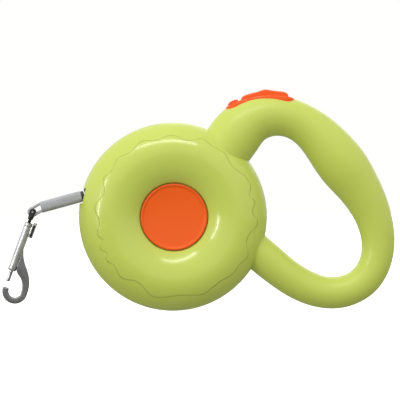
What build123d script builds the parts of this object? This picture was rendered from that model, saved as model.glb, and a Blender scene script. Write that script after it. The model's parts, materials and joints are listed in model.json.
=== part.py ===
"""Retractable pet leash: a ring-shaped casing with a loop handle, a sprung reel of flat tape,
a thumb brake on the handle and a swivel bolt snap on the tape's free end.

Millimetres.  +Z is up, +X points from the reel towards the hand, and the front face looks along -Y.
The origin is the middle of the hand's grip on the handle.
"""
import os
from math import acos, cos, degrees, hypot, pi, radians, sin, tan

from build123d import *

# ---- driving dimensions -------------------------------------------------------------------------
REEL_X, REEL_Z = -88.0, -30.0     # reel centre, seen from the middle of the grip

RING_RADIUS = 50.0                # casing, outside
CREST_RADIUS = 33.5               # where the ring is thickest
SHOULDER_RADIUS = 22.97           # round of the shoulder from the crest in to the centre cap
SHELL_DEPTH = 16.5                # shell, from the parting plane to its crest
COVER_DEPTH = 17.0                # ring covers stand proud of the shell
DISC_RADIUS = 17.9                # recess of the centre cap
DISC_FLOOR_DEPTH = 8.8            # floor under the cap
HUB_ROOM_DEPTH = 7.0              # inner face of that floor
CAP_DEPTH = 10.8                  # rim of the centre cap
DISH_RADIUS, DISH_DEPTH, DISH_SAG = 15.3, 9.7, 0.4    # hollow of its face: middle depth and sag
WALL = 2.2
COVER_THICKNESS = 1.5
COVER_FLOOR = 15.4                # shell's crest under the ring cover
CAP_POST_DISTANCE, CAP_POST_RADIUS = 12.0, 1.3
FIT = 0.1                         # gap between fixed parts that slide together on assembly

HANDLE_WIDTH_RATIO = 0.94         # handle section: width across the leash over height in its plane
# handle centre line from the upper root round to the lower root:
# x and z from the reel centre, section radius, heading in degrees
HANDLE_STATIONS = [
    (26.0, 33.0, 13.7, 57), (31.2, 40.6, 14.0, 55), (37.5, 48.1, 13.4, 43), (46.1, 53.0, 12.1, 16),
    (55.8, 53.9, 10.9, -7), (65.0, 51.7, 10.4, -24), (73.1, 47.0, 10.9, -37), (79.9, 40.7, 12.0, -46),
    (86.1, 33.3, 13.0, -51), (92.2, 25.5, 13.2, -52), (98.0, 17.6, 12.0, -55), (103.1, 9.3, 10.8, -62),
    (107.0, 0.5, 9.8, -71), (109.4, -8.8, 9.1, -82), (109.6, -18.4, 8.6, -97), (107.0, -27.5, 8.4, -115),
    (101.2, -35.1, 8.4, -139), (92.7, -39.6, 8.4, -165), (83.0, -40.6, 8.5, -182),
    (73.5, -38.4, 8.7, -200), (64.9, -34.2, 8.9, -211), (57.0, -28.7, 9.1, -217),
    (49.5, -22.5, 9.4, -220), (42.0, -16.2, 9.5, -220),
]

# scalloped edge of the ring covers: angle in degrees and radius of each crest and hollow
SCALLOPS = [
    (3, 40.2), (11, 43.8), (16, 40.2), (22, 44.0), (30, 43.0), (42, 40.0), (52, 43.2),
    (62, 42.0), (70, 44.2), (80, 40.4), (92, 43.6), (103, 41.0), (114, 44.0), (124, 40.6),
    (134, 43.4), (144, 40.4), (152, 43.0), (161, 37.8), (173, 43.2), (184, 38.6), (193, 42.0),
    (198, 38.8), (203, 43.3), (208, 39.2), (213, 42.8), (218, 40.0), (229, 43.1), (240, 38.2),
    (254, 43.8), (264, 42.2), (275, 41.0), (290, 43.8), (306, 41.4), (316, 43.2), (324, 42.2),
    (332, 44.8), (340, 39.6), (348, 40.4), (356, 45.4),
]

ROUNDED_SHARE = 0.43              # part of the shorter run beside a corner that its rounding takes
LARGEST_ROUNDING = 9.0

TAPE_WIDTH, TAPE_THICKNESS, TAPE_LENGTH = 10.0, 1.0, 3000.0
DRUM_RADIUS = 20.0
SPRING_ROOM_RADIUS = 16.0
FLANGE_INNER, FLANGE_OUTER = 5.35, 6.4      # distance of the flange faces from the mid-plane
FLANGE_RADIUS = 38.5
RATCHET_RADIUS = 41.0
RATCHET_TEETH = 6
AXLE_RADIUS = 3.0
ARBOR_RADIUS = 4.0
AXLE_SQUARE = 4.2                 # square ends of the axle
LID_RADIUS = 19.4
LID_SCREW_DISTANCE = 17.9
RUNNING = 0.06                    # radial clearance of a running fit

OUTLET_X, OUTLET_Z = -48.8, 10.8  # mouth of the tape outlet, from the reel centre
PULL_HEADING = 195.4              # direction in which the tape leaves, degrees
SLEEVE_START, SLEEVE_LENGTH = -1.8, 23.6
SLEEVE_HEIGHT, SLEEVE_WIDTH = 6.0, 12.4
SLEEVE_ROUNDING = 1.2
BEND_DISTANCE = -7.5              # where the tape turns, along the pull line from the mouth
GUIDE_PIN = (-7.0, 2.4)           # along and above the pull line
GUIDE_PIN_RADIUS = 1.5

EYE_X, EYE_Z = -74.2, 2.6         # eye bar of the swivel, from the reel centre
SNAP_TILT = 20.0                  # snap's lean from the vertical, degrees
EYE_BAR_RADIUS = 1.2
LOOP_THICKNESS = 1.4
EYE_HALF_WIDTH, EYE_GAP = 6.8, 5.4          # outside and inside of the eye's arms
EYE_BRIDGE = (3.0, 4.3)           # bottom of the eye, along the snap
POST_RADIUS_EYE, POST_HEAD_RADIUS, POST_HEAD = 1.0, 1.45, (6.9, 8.0)
BARREL_RADIUS = 2.3
BARREL_TOP, BARREL_END = 6.0, 32.9          # along the snap, from the eye bar
BOLT_RADIUS = 1.0
BOLT_END = 38.9
HOOK_CENTRE_X, HOOK_CENTRE_Y = 5.4, 42.6    # across and along the snap
HOOK_OUTER, HOOK_INNER = 6.6, 3.4
HOOK_THICKNESS = 3.2
CHAMBER_RADIUS = 1.6              # bore of the barrel round head and spring
SPRING_SEAT = 15.2                # upper stop of the bolt's spring
STEM = (11.4, 13.4)               # thumb tab's stem, along the snap
TAB_FACE, TAB_BACK = 2.4, 4.4     # thumb tab, distance from the snap's axis
TAB_TOP, TAB_END = 5.0, 13.4
SPRING_COIL_RADIUS, SPRING_WIRE = 1.27, 0.18
BOLT_COLLAR = (23.0, 24.4)        # collar that the spring bears on, along the snap

HINGE_X, HINGE_Z = 60.3, 61.2     # brake button's hinge, from the reel centre
HINGE_PIN_RADIUS = 1.0
PAWL_HEADING = 57.0               # line of the brake pawl, degrees
PAWL_TIP, PAWL_HEAD = 41.6, 70.4  # ends of the pawl, from the reel centre
PAWL_ROD_RADIUS, PAWL_HEAD_RADIUS, PAWL_HEAD_THICKNESS = 2.0, 3.0, 1.5
RIB_DISTANCES, RIB_THICKNESS = (51.5, 60.0), 1.5
SEAT_FRONT, SEAT_REAR = 29.3, 63.3          # ends of the thumb controls' frame
SEAT_DEPTH = 4.5                  # its depth in the handle
SEAT_ROUNDING = 3.0
BEZEL_LIFT = 0.8                  # its rim above the handle
BEZEL_HALF_WIDTH = 6.6
BUTTON_HALF_WIDTH = 4.9
BEZEL_OPENING = (30.6, 62.1)
FORK_INNER, FORK_OUTER = 3.5, 4.6 # sides of the lock slider's fork and of the button's lips
LIP_TIP, TONGUE_TIP = 0.85, 0.2   # facing ends of lip and fork, along the slider's travel
LOCK_HEADING = 20.0               # direction of the lock slider's travel

# screw posts: x and z from the reel centre
RIM_POST_ANGLES = (95, 215, 275, 335)
RIM_POST_RADIUS = 45.2
HANDLE_POSTS = [(76.4, 44.2), (105.4, 5.4), (82.0, -40.4)]
POST_RADIUS = 2.5
SCREW_RADIUS, SCREW_HEAD_RADIUS = 1.2, 2.1
SCREW_SEAT, SCREW_TIP = 5.0, -6.0           # back face side is positive

# ---- shared planes and profiles -----------------------------------------------------------------
REEL = Vector(REEL_X, 0, REEL_Z)
FRONT = Plane(origin=REEL, x_dir=(1, 0, 0), z_dir=(0, -1, 0))      # x right, y up
RADIAL = Plane(origin=REEL, x_dir=(1, 0, 0), z_dir=(0, 0, -1))     # x radius, y towards the front
REEL_AXIS = Axis(REEL, (0, -1, 0))


def heading(degrees):
    """Unit vector in the mid-plane."""
    return Vector(cos(radians(degrees)), 0, sin(radians(degrees)))


def at(x, z, depth=0.0):
    """Point given from the reel centre, with its distance in front of the mid-plane."""
    return REEL + Vector(x, -depth, z)


PULL = Plane(origin=at(OUTLET_X, OUTLET_Z), x_dir=heading(PULL_HEADING), z_dir=(0, 1, 0))
SNAP = Plane(origin=at(EYE_X, EYE_Z), x_dir=heading(-SNAP_TILT), z_dir=(0, -1, 0))
LOCK = Plane(origin=at(34.5, 60.5), x_dir=heading(LOCK_HEADING), z_dir=(0, -1, 0))
SNAP_AXIS = Axis(at(EYE_X, EYE_Z), heading(270 - SNAP_TILT))
PAWL = Plane(origin=REEL, x_dir=heading(PAWL_HEADING), z_dir=(0, -1, 0))


def pawl_section(distance):
    """Plane across the pawl at a distance from the reel centre."""
    return Plane(origin=REEL + heading(PAWL_HEADING) * distance, x_dir=(0, 1, 0),
                 z_dir=heading(PAWL_HEADING))


def ring_sketch(rim, crest, inner_radius, floor):
    """Half section of the ring, to be turned about the reel axis.

    rim is the outside radius, crest the greatest depth; inside the crest a round shoulder runs
    down to inner_radius, and floor is the depth from there to the axis.
    """
    shoulder = SHOULDER_RADIUS - (COVER_DEPTH - crest)
    shoulder_centre = crest - shoulder
    edge_depth = shoulder_centre + (shoulder**2 - (CREST_RADIUS - inner_radius) ** 2) ** 0.5
    middle_x = (CREST_RADIUS + inner_radius) / 2
    middle_depth = shoulder_centre + (shoulder**2 - (CREST_RADIUS - middle_x) ** 2) ** 0.5
    with BuildSketch(RADIAL) as section:
        with BuildLine():
            EllipticalCenterArc((CREST_RADIUS, 0), rim - CREST_RADIUS, crest, arc_size=90)
            ThreePointArc((CREST_RADIUS, crest), (middle_x, middle_depth), (inner_radius, edge_depth))
            Polyline((inner_radius, edge_depth), (inner_radius, floor), (0, floor), (0, 0), (rim, 0))
        make_face()
    return section.sketch


def half_ring(rim, crest, inner_radius, floor):
    """Front half of the ring."""
    with BuildPart() as ring:
        add(ring_sketch(rim, crest, inner_radius, floor))
        revolve(axis=REEL_AXIS)
    return ring.part


def scallop_rounding(before, corner, after):
    """Radius of one corner of the scalloped edge, sized to the runs on its two sides."""
    run_in = Vector(*corner) - Vector(*before)
    run_out = Vector(*after) - Vector(*corner)
    reach = ROUNDED_SHARE * min(run_in.length, run_out.length)
    return min(reach / tan(radians(run_in.get_angle(run_out)) / 2), LARGEST_ROUNDING)


def scalloped_prism(inset, start, end):
    """Prism inside the scalloped edge, between two depths in front of the mid-plane."""
    points = [
        ((radius - inset) * cos(radians(angle)), (radius - inset) * sin(radians(angle)))
        for angle, radius in SCALLOPS
    ]
    roundings = [
        scallop_rounding(points[i - 1], point, points[(i + 1) % len(points)])
        for i, point in enumerate(points)
    ]
    with BuildPart() as prism:
        with BuildSketch(FRONT.offset(start)):
            with BuildLine():
                FilletPolyline(*points, radius=roundings, close=True)
            make_face()
        extrude(amount=end - start)
    return prism.part


def half_handle(inset):
    """Front half of the handle as a closed solid, with its surface set in by inset."""
    with BuildPart() as tube:
        for x, z, radius, angle in HANDLE_STATIONS:
            with BuildSketch(Plane(origin=at(x, z), x_dir=(0, 1, 0), z_dir=heading(angle))):
                Ellipse(radius * HANDLE_WIDTH_RATIO - inset, radius - inset)
        loft()
        split(bisect_by=Plane.XZ, keep=Keep.TOP)
    return tube.part


def seat_outline(lift, front, rear):
    """Line along the top of the handle under the thumb controls, raised by lift."""
    return [
        (front, 58.6 + lift), (34.5, 60.5 + lift), (40.5, 62.3 + lift), (46.8, 63.5 + lift),
        (53.6, 63.8 + lift), (rear, 62.9 + lift),
    ]


def seat_prism(bottom, top, half_width, clearance=0.0):
    """Prism that follows the top of the handle between two heights, with round corners in plan."""
    front = SEAT_FRONT - clearance
    rear = SEAT_REAR + clearance
    lower = seat_outline(bottom, front, rear)
    upper = seat_outline(top, front, rear)
    with BuildPart() as prism:
        with BuildSketch(FRONT):
            with BuildLine():
                Spline(*lower)
                Spline(*upper)
                Line(lower[0], upper[0])
                Line(lower[-1], upper[-1])
            make_face()
        extrude(amount=half_width, both=True)
        with BuildSketch(Plane(at((front + rear) / 2, 0))):
            RectangleRounded(rear - front, 2 * half_width, SEAT_ROUNDING)
        extrude(amount=2 * RING_RADIUS, mode=Mode.INTERSECT)
    return prism.part


def finish(builder, name):
    """Label a finished piece and write its file."""
    builder.part.label = name
    export_step(builder.part, f"parts/{name}.step")


os.makedirs("parts", exist_ok=True)

# ---- casing -------------------------------------------------------------------------------------
rim_posts = [
    (RIM_POST_RADIUS * cos(radians(a)), RIM_POST_RADIUS * sin(radians(a))) for a in RIM_POST_ANGLES
]
all_posts = rim_posts + HANDLE_POSTS

guide_outline = [(-2.3, -3.4), (-2.3, 3.4), (-6.0, 3.4), (-9.2, 4.2), (-9.2, 0.8), (-5.0, -3.4)]

# the hollow inside one shell; what is taken out of it stays as posts and guide ribs
with BuildPart() as hollow:
    add(half_ring(RING_RADIUS - WALL, COVER_FLOOR - 1.7, 20.0, HUB_ROOM_DEPTH))
    add(half_handle(WALL))
    with BuildSketch(FRONT):
        with Locations(*all_posts):
            Circle(POST_RADIUS)
    extrude(amount=20, mode=Mode.SUBTRACT)
    with BuildSketch(PAWL):
        with Locations(*[(distance, 0) for distance in RIB_DISTANCES]):
            Rectangle(RIB_THICKNESS, 40)
    extrude(amount=20, mode=Mode.SUBTRACT)
    with BuildSketch(pawl_section(47)):
        Circle(PAWL_ROD_RADIUS + RUNNING)
    extrude(amount=16)

with BuildPart() as cover_room:
    add(scalloped_prism(0, 5, 25))
    add(half_ring(RING_RADIUS - 1.2, COVER_FLOOR, 18, DISC_FLOOR_DEPTH), mode=Mode.SUBTRACT)

with BuildPart() as half_casing:
    add(half_ring(RING_RADIUS, SHELL_DEPTH, DISC_RADIUS, DISC_FLOOR_DEPTH))
    add(half_handle(0))
    add(cover_room.part, mode=Mode.SUBTRACT)
    add(hollow.part, mode=Mode.SUBTRACT)
    # seat of the thumb controls
    add(seat_prism(-SEAT_DEPTH - FIT, 14, BEZEL_HALF_WIDTH + FIT, FIT), mode=Mode.SUBTRACT)
    # mouth of the tape outlet, and room for the tape guide behind it
    with BuildSketch(PULL):
        with Locations((-2.1, 0)):
            Rectangle(10.2, SLEEVE_HEIGHT + 0.9)
        with BuildLine():
            Polyline(*guide_outline, close=True)
        make_face()
        with Locations(GUIDE_PIN):
            Circle(GUIDE_PIN_RADIUS + FIT)
        offset(amount=FIT / 2)
    extrude(amount=-SLEEVE_WIDTH / 2 - 0.5, mode=Mode.SUBTRACT)
    # square hole that holds the axle's end, and snap holes of the centre cap
    with BuildSketch(FRONT.offset(HUB_ROOM_DEPTH - 1)):
        Rectangle(AXLE_SQUARE + FIT, AXLE_SQUARE + FIT)
        with PolarLocations(CAP_POST_DISTANCE, 3):
            Circle(CAP_POST_RADIUS + FIT / 2)
    extrude(amount=4, mode=Mode.SUBTRACT)

with BuildPart() as front_shell:
    add(half_casing.part)
    # blind pilot holes for the screws
    with BuildSketch(FRONT):
        with Locations(*all_posts):
            Circle(SCREW_RADIUS + FIT / 2)
    extrude(amount=-SCREW_TIP + 0.5, mode=Mode.SUBTRACT)
finish(front_shell, "front_shell")

with BuildPart() as back_shell:
    add(half_casing.part)
    mirror(about=Plane.XZ, mode=Mode.REPLACE)
    # screw holes, with wells for the heads
    with BuildSketch(FRONT):
        with Locations(*all_posts):
            Circle(SCREW_RADIUS + FIT / 2)
    extrude(amount=-SCREW_SEAT - 1, mode=Mode.SUBTRACT)
    with BuildSketch(FRONT.offset(-SCREW_SEAT)):
        with Locations(*all_posts):
            Circle(SCREW_HEAD_RADIUS + 0.15)
    extrude(amount=-12, mode=Mode.SUBTRACT)
finish(back_shell, "back_shell")

with BuildPart() as casing_screws:
    with BuildSketch(FRONT.offset(-SCREW_TIP)):
        with Locations(*all_posts):
            Circle(SCREW_RADIUS)
    extrude(amount=SCREW_TIP - SCREW_SEAT)
    with BuildSketch(FRONT.offset(-SCREW_SEAT)):
        with Locations(*all_posts):
            Circle(SCREW_HEAD_RADIUS)
    extrude(amount=-1.5)
    with BuildSketch(FRONT.offset(-SCREW_SEAT - 0.7)):
        with Locations(*all_posts):
            Rectangle(2.6, 0.6)
            Rectangle(0.6, 2.6)
    extrude(amount=-2, mode=Mode.SUBTRACT)
finish(casing_screws, "casing_screws")

# ---- ring covers and centre caps ----------------------------------------------------------------
with BuildPart() as front_ring_cover:
    add(half_ring(RING_RADIUS + 0.4, COVER_DEPTH, DISC_RADIUS + 0.2, 4))
    add(scalloped_prism(FIT, 6, 25), mode=Mode.INTERSECT)
    add(half_ring(RING_RADIUS - 1.1, COVER_FLOOR + FIT, DISC_RADIUS + 0.2, 25), mode=Mode.SUBTRACT)
finish(front_ring_cover, "front_ring_cover")

with BuildPart() as back_ring_cover:
    add(front_ring_cover.part)
    mirror(about=Plane.XZ, mode=Mode.REPLACE)
finish(back_ring_cover, "back_ring_cover")

cap_radius = DISC_RADIUS - 0.3
cap_back = DISC_FLOOR_DEPTH + FIT
dish_edge = DISH_DEPTH + DISH_SAG
dish_round = (DISH_RADIUS**2 + DISH_SAG**2) / (2 * DISH_SAG)
dish_middle_x = DISH_RADIUS * sin(pi / 4)
dish_middle = DISH_DEPTH + dish_round - (dish_round**2 - dish_middle_x**2) ** 0.5
with BuildPart() as front_centre_cap:
    with BuildSketch(RADIAL):
        with BuildLine():
            Polyline((0, DISH_DEPTH), (0, cap_back), (cap_radius, cap_back),
                     (cap_radius, CAP_DEPTH - 0.4), (cap_radius - 0.4, CAP_DEPTH),
                     (DISH_RADIUS + 0.9, CAP_DEPTH), (DISH_RADIUS, dish_edge))
            ThreePointArc((DISH_RADIUS, dish_edge), (dish_middle_x, dish_middle), (0, DISH_DEPTH))
        make_face()
    revolve(axis=REEL_AXIS)
    with BuildSketch(FRONT.offset(cap_back)):
        with PolarLocations(CAP_POST_DISTANCE, 3):
            Circle(CAP_POST_RADIUS)
    extrude(amount=HUB_ROOM_DEPTH + FIT - cap_back)
finish(front_centre_cap, "front_centre_cap")

with BuildPart() as back_centre_cap:
    add(front_centre_cap.part)
    mirror(about=Plane.XZ, mode=Mode.REPLACE)
finish(back_centre_cap, "back_centre_cap")

# ---- reel and its spring ------------------------------------------------------------------------
with BuildPart() as reel_axle:
    with BuildSketch(FRONT):
        Circle(AXLE_RADIUS)
    extrude(amount=HUB_ROOM_DEPTH - 0.05, both=True)
    with BuildSketch(FRONT):
        Circle(ARBOR_RADIUS)
    extrude(amount=4.6, both=True)
    with BuildSketch(FRONT):
        Rectangle(AXLE_SQUARE, AXLE_SQUARE)
    extrude(amount=DISC_FLOOR_DEPTH - 0.05, both=True)
    # slot that catches the inner end of the spring
    with BuildSketch(FRONT):
        with Locations((ARBOR_RADIUS - 0.6, 0)):
            Rectangle(2.4, 0.6)
    extrude(amount=4.7, both=True, mode=Mode.SUBTRACT)
finish(reel_axle, "reel_axle")

with BuildPart() as reel:
    with BuildSketch(FRONT):
        Circle(DRUM_RADIUS)
    extrude(amount=FLANGE_INNER, both=True)
    for face, direction in ((FLANGE_INNER, 1), (-FLANGE_INNER, -1)):
        with BuildSketch(FRONT.offset(face)):
            Circle(FLANGE_RADIUS)
            with PolarLocations(RATCHET_RADIUS - 2, RATCHET_TEETH, PAWL_HEADING - 180 / RATCHET_TEETH):
                Rectangle(4, 7)
            with PolarLocations(29, 6):
                Circle(3.5, mode=Mode.SUBTRACT)
        extrude(amount=direction * (FLANGE_OUTER - FLANGE_INNER))
    # spring room, open to the front, with a seat for the lid
    with BuildSketch(FRONT.offset(-FLANGE_INNER)):
        Circle(SPRING_ROOM_RADIUS)
    extrude(amount=20, mode=Mode.SUBTRACT)
    with BuildSketch(FRONT.offset(FLANGE_INNER)):
        Circle(LID_RADIUS + FIT)
    extrude(amount=4, mode=Mode.SUBTRACT)
    with BuildSketch(FRONT.offset(-10)):
        Circle(AXLE_RADIUS + RUNNING)
    extrude(amount=10, mode=Mode.SUBTRACT)
    with BuildSketch(FRONT.offset(FLANGE_INNER)):
        with PolarLocations(LID_SCREW_DISTANCE, 3):
            Circle(0.85)
    extrude(amount=-5, mode=Mode.SUBTRACT)
finish(reel, "reel")

with BuildPart() as reel_lid:
    with BuildSketch(FRONT.offset(FLANGE_INNER)):
        Circle(LID_RADIUS)
        Circle(AXLE_RADIUS + RUNNING, mode=Mode.SUBTRACT)
        with PolarLocations(LID_SCREW_DISTANCE, 3):
            Circle(0.85, mode=Mode.SUBTRACT)
    extrude(amount=FLANGE_OUTER - FLANGE_INNER)
    with BuildSketch(FRONT.offset(FLANGE_OUTER)):
        with PolarLocations(LID_SCREW_DISTANCE, 3):
            Circle(1.3)
    extrude(amount=-0.65, mode=Mode.SUBTRACT)
finish(reel_lid, "reel_lid")

with BuildPart() as reel_lid_screws:
    with BuildSketch(FRONT.offset(FLANGE_OUTER - 0.1)):
        with PolarLocations(LID_SCREW_DISTANCE, 3):
            Circle(1.2)
    extrude(amount=-0.5)
    with BuildSketch(FRONT.offset(FLANGE_OUTER - 0.4)):
        with PolarLocations(LID_SCREW_DISTANCE, 3):
            Circle(0.8)
    extrude(amount=-5)
finish(reel_lid_screws, "reel_lid_screws")

with BuildPart() as reel_washers:
    for side in (-1, 1):
        with BuildSketch(FRONT.offset(side * (FLANGE_OUTER + 0.05))):
            Circle(7)
            Circle(AXLE_RADIUS + 0.1, mode=Mode.SUBTRACT)
        extrude(amount=side * (HUB_ROOM_DEPTH - FLANGE_OUTER - 0.1))
finish(reel_washers, "reel_washers")

# spiral of half circles, each a little larger than the last
coil_start, coil_growth, half_turns, strip = 4.5, 0.65, 17, 0.35
with BuildPart() as mainspring:
    with BuildSketch(FRONT):
        with BuildLine():
            for side in (-strip / 2, strip / 2):
                for turn in range(half_turns):
                    centre = coil_growth * (turn % 2)
                    CenterArc((centre, 0), coil_start + turn * coil_growth + side,
                              180 * (turn % 2), 180)
            coil_end = coil_start + (half_turns - 1) * coil_growth
            Line((coil_start - strip / 2, 0), (coil_start + strip / 2, 0))
            Line((-coil_end - strip / 2, 0), (-coil_end + strip / 2, 0))
        make_face()
    extrude(amount=4.5, both=True)
finish(mainspring, "mainspring")

wound_radius = ((TAPE_LENGTH * TAPE_THICKNESS) / pi + DRUM_RADIUS**2) ** 0.5
with BuildPart() as wound_tape:
    with BuildSketch(FRONT):
        Circle(wound_radius)
        Circle(DRUM_RADIUS + 0.05, mode=Mode.SUBTRACT)
    extrude(amount=TAPE_WIDTH / 2, both=True)
finish(wound_tape, "wound_tape")
turns = TAPE_LENGTH / (pi * (wound_radius + DRUM_RADIUS))
print(f"wound tape radius {wound_radius:.2f}, turns {turns:.2f}")

# ---- tape outlet --------------------------------------------------------------------------------
with BuildPart() as tape_guide:
    with BuildSketch(PULL):
        with BuildLine():
            Polyline(*guide_outline, close=True)
        make_face()
    extrude(amount=SLEEVE_WIDTH / 2 + 0.4, both=True)
    # clear room between the cheeks, and a slot through the front plate
    with BuildSketch(PULL):
        with Locations((-9.4, 0)):
            Rectangle(10, 12)
    extrude(amount=TAPE_WIDTH / 2 + 0.6, both=True, mode=Mode.SUBTRACT)
    with BuildSketch(PULL):
        Rectangle(10, 2.4)
    extrude(amount=TAPE_WIDTH / 2 + 0.4, both=True, mode=Mode.SUBTRACT)
    with BuildSketch(PULL):
        with Locations(GUIDE_PIN):
            Circle(GUIDE_PIN_RADIUS + 0.02)
    extrude(amount=10, both=True, mode=Mode.SUBTRACT)
finish(tape_guide, "tape_guide")

with BuildPart() as tape_guide_pin:
    with BuildSketch(PULL):
        with Locations(GUIDE_PIN):
            Circle(GUIDE_PIN_RADIUS)
    extrude(amount=SLEEVE_WIDTH / 2 + 0.3, both=True)
finish(tape_guide_pin, "tape_guide_pin")

# tape from the outside of the coil, round the guide pin and out to the sleeve
coil_clear = wound_radius + TAPE_THICKNESS / 2 + 0.3
bend = PULL.from_local_coords((BEND_DISTANCE, 0, 0)) - REEL
bend_radius = hypot(bend.X, bend.Z)
leave_angle = Vector(1, 0, 0).get_angle(bend) - degrees(acos(coil_clear / bend_radius))
tape_start = at(coil_clear * cos(radians(leave_angle)), coil_clear * sin(radians(leave_angle)))
with BuildPart() as leash_tape:
    with BuildSketch(PULL):
        with BuildLine() as route:
            FilletPolyline(
                PULL.to_local_coords(tape_start), (BEND_DISTANCE, 0), (SLEEVE_START, 0),
                radius=GUIDE_PIN_RADIUS + 0.3 + TAPE_THICKNESS / 2,
            )
        trace(route.line, TAPE_THICKNESS)
    extrude(amount=TAPE_WIDTH / 2, both=True)
finish(leash_tape, "leash_tape")

with BuildPart() as leash_sleeve:
    with BuildSketch(PULL):
        with Locations((SLEEVE_START + SLEEVE_LENGTH / 2, 0)):
            Rectangle(SLEEVE_LENGTH, SLEEVE_HEIGHT)
    extrude(amount=SLEEVE_WIDTH / 2, both=True)
    long_edges = leash_sleeve.edges().filter_by(lambda e: abs(e.tangent_at(0).dot(PULL.x_dir)) > 0.9)
    fillet(long_edges, radius=SLEEVE_ROUNDING)
finish(leash_sleeve, "leash_sleeve")

eye_local = PULL.to_local_coords(at(EYE_X, EYE_Z))
sleeve_end = SLEEVE_START + SLEEVE_LENGTH
loop_inner = EYE_BAR_RADIUS + 0.1


def loop_outline(radius, low, high):
    """Teardrop round the eye bar that opens towards the sleeve."""
    with BuildSketch(PULL) as outline:
        with Locations((eye_local.X, eye_local.Y)):
            Circle(radius)
        with BuildLine():
            Polyline((sleeve_end, low), (sleeve_end, high), (eye_local.X, eye_local.Y + radius),
                     (eye_local.X, eye_local.Y - radius), close=True)
        make_face()
    return outline.sketch


with BuildPart() as tape_loop:
    extrude(loop_outline(loop_inner + LOOP_THICKNESS, -2.9, 2.9), amount=TAPE_WIDTH / 2, both=True)
    extrude(loop_outline(loop_inner, -1.5, 1.5), amount=TAPE_WIDTH, both=True, mode=Mode.SUBTRACT)
finish(tape_loop, "tape_loop")

# ---- swivel and snap ----------------------------------------------------------------------------
def across_snap(distance):
    """Plane across the snap at a distance below the eye bar."""
    return Plane(origin=at(EYE_X, EYE_Z) + SNAP_AXIS.direction * distance, x_dir=SNAP.x_dir,
                 z_dir=SNAP_AXIS.direction)


def rod(radius, start, end, mode=Mode.ADD):
    """Round bar or bore on the snap's axis."""
    with BuildSketch(across_snap(start)) as disc:
        Circle(radius)
    extrude(disc.sketch, amount=end - start, mode=mode)


with BuildPart() as swivel_eye:
    with BuildSketch(SNAP):
        Circle(EYE_BAR_RADIUS)
    extrude(amount=EYE_HALF_WIDTH, both=True)
    # arms, bridged below the tape loop
    with BuildSketch(SNAP):
        with Locations((0, -EYE_BRIDGE[1] / 2)):
            Rectangle(2 * EYE_BAR_RADIUS, EYE_BRIDGE[1])
        with Locations((0, 0)):
            Circle(EYE_BAR_RADIUS + 0.4)
    extrude(amount=EYE_HALF_WIDTH, both=True)
    with BuildSketch(SNAP):
        with Locations((0, -EYE_BRIDGE[0] / 2 + 1.2)):
            Rectangle(6, EYE_BRIDGE[0] + 2.4)
        Circle(EYE_BAR_RADIUS, mode=Mode.SUBTRACT)
    extrude(amount=EYE_GAP, both=True, mode=Mode.SUBTRACT)
    rod(POST_RADIUS_EYE, EYE_BRIDGE[0] + 0.3, POST_HEAD[0] + 0.2)
    rod(POST_HEAD_RADIUS, *POST_HEAD)
finish(swivel_eye, "swivel_eye")

with BuildPart() as snap_body:
    rod(BARREL_RADIUS, BARREL_TOP, BARREL_END)
    chamfer(snap_body.faces().sort_by(SNAP_AXIS)[0].edges(), length=0.35)
    with BuildSketch(SNAP):
        with BuildLine():
            tip_outer = (HOOK_CENTRE_X - HOOK_OUTER, -42.2)
            tip_inner = (HOOK_CENTRE_X - HOOK_INNER, -42.2)
            ThreePointArc(
                (tip_inner[0], -HOOK_CENTRE_Y), (HOOK_CENTRE_X, -HOOK_CENTRE_Y - HOOK_INNER),
                (HOOK_CENTRE_X + HOOK_INNER, -HOOK_CENTRE_Y),
            )
            ThreePointArc(
                (tip_outer[0], -HOOK_CENTRE_Y), (HOOK_CENTRE_X, -HOOK_CENTRE_Y - HOOK_OUTER),
                (HOOK_CENTRE_X + HOOK_OUTER, -HOOK_CENTRE_Y),
            )
            Polyline((tip_inner[0], -HOOK_CENTRE_Y), tip_inner, tip_outer,
                     (tip_outer[0], -HOOK_CENTRE_Y))
            Spline((HOOK_CENTRE_X + HOOK_INNER, -HOOK_CENTRE_Y), (7.9, -37.6), (5.6, -34.5),
                   (2.2, -32.7), tangents=[(0, 1), (-1, 0.3)])
            Spline((HOOK_CENTRE_X + HOOK_OUTER, -HOOK_CENTRE_Y), (11.3, -36.3), (8.6, -31.2),
                   (4.7, -26.6), (2.0, -21.5), tangents=[(0, 1), (-0.35, 1)])
            Polyline((2.2, -32.7), (0, -32.0), (0, -21.5), (2.0, -21.5))
        make_face()
    extrude(amount=HOOK_THICKNESS / 2, both=True)
    rod(POST_RADIUS_EYE + RUNNING, BARREL_TOP - 1, 7.0, Mode.SUBTRACT)
    rod(CHAMBER_RADIUS, POST_HEAD[0] - 0.06, 14.0, Mode.SUBTRACT)
    rod(BOLT_RADIUS + RUNNING, 13, SPRING_SEAT, Mode.SUBTRACT)
    rod(CHAMBER_RADIUS, SPRING_SEAT, BARREL_END - 1.5, Mode.SUBTRACT)
    rod(BOLT_RADIUS + RUNNING, BARREL_END - 2, BARREL_END + 1, Mode.SUBTRACT)
    # slot for the thumb tab's stem
    with BuildSketch(SNAP):
        with Locations((3, -10.9)):
            Rectangle(6, 5.8)
    extrude(amount=0.75 + 0.3, both=True, mode=Mode.SUBTRACT)
finish(snap_body, "snap_body")

with BuildPart() as snap_bolt:
    rod(BOLT_RADIUS, STEM[0], BOLT_END)
    rod(CHAMBER_RADIUS - 0.1, *BOLT_COLLAR)
    chamfer(snap_bolt.faces().sort_by(SNAP_AXIS)[-1].edges(), length=0.3)
finish(snap_bolt, "snap_bolt")

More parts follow.
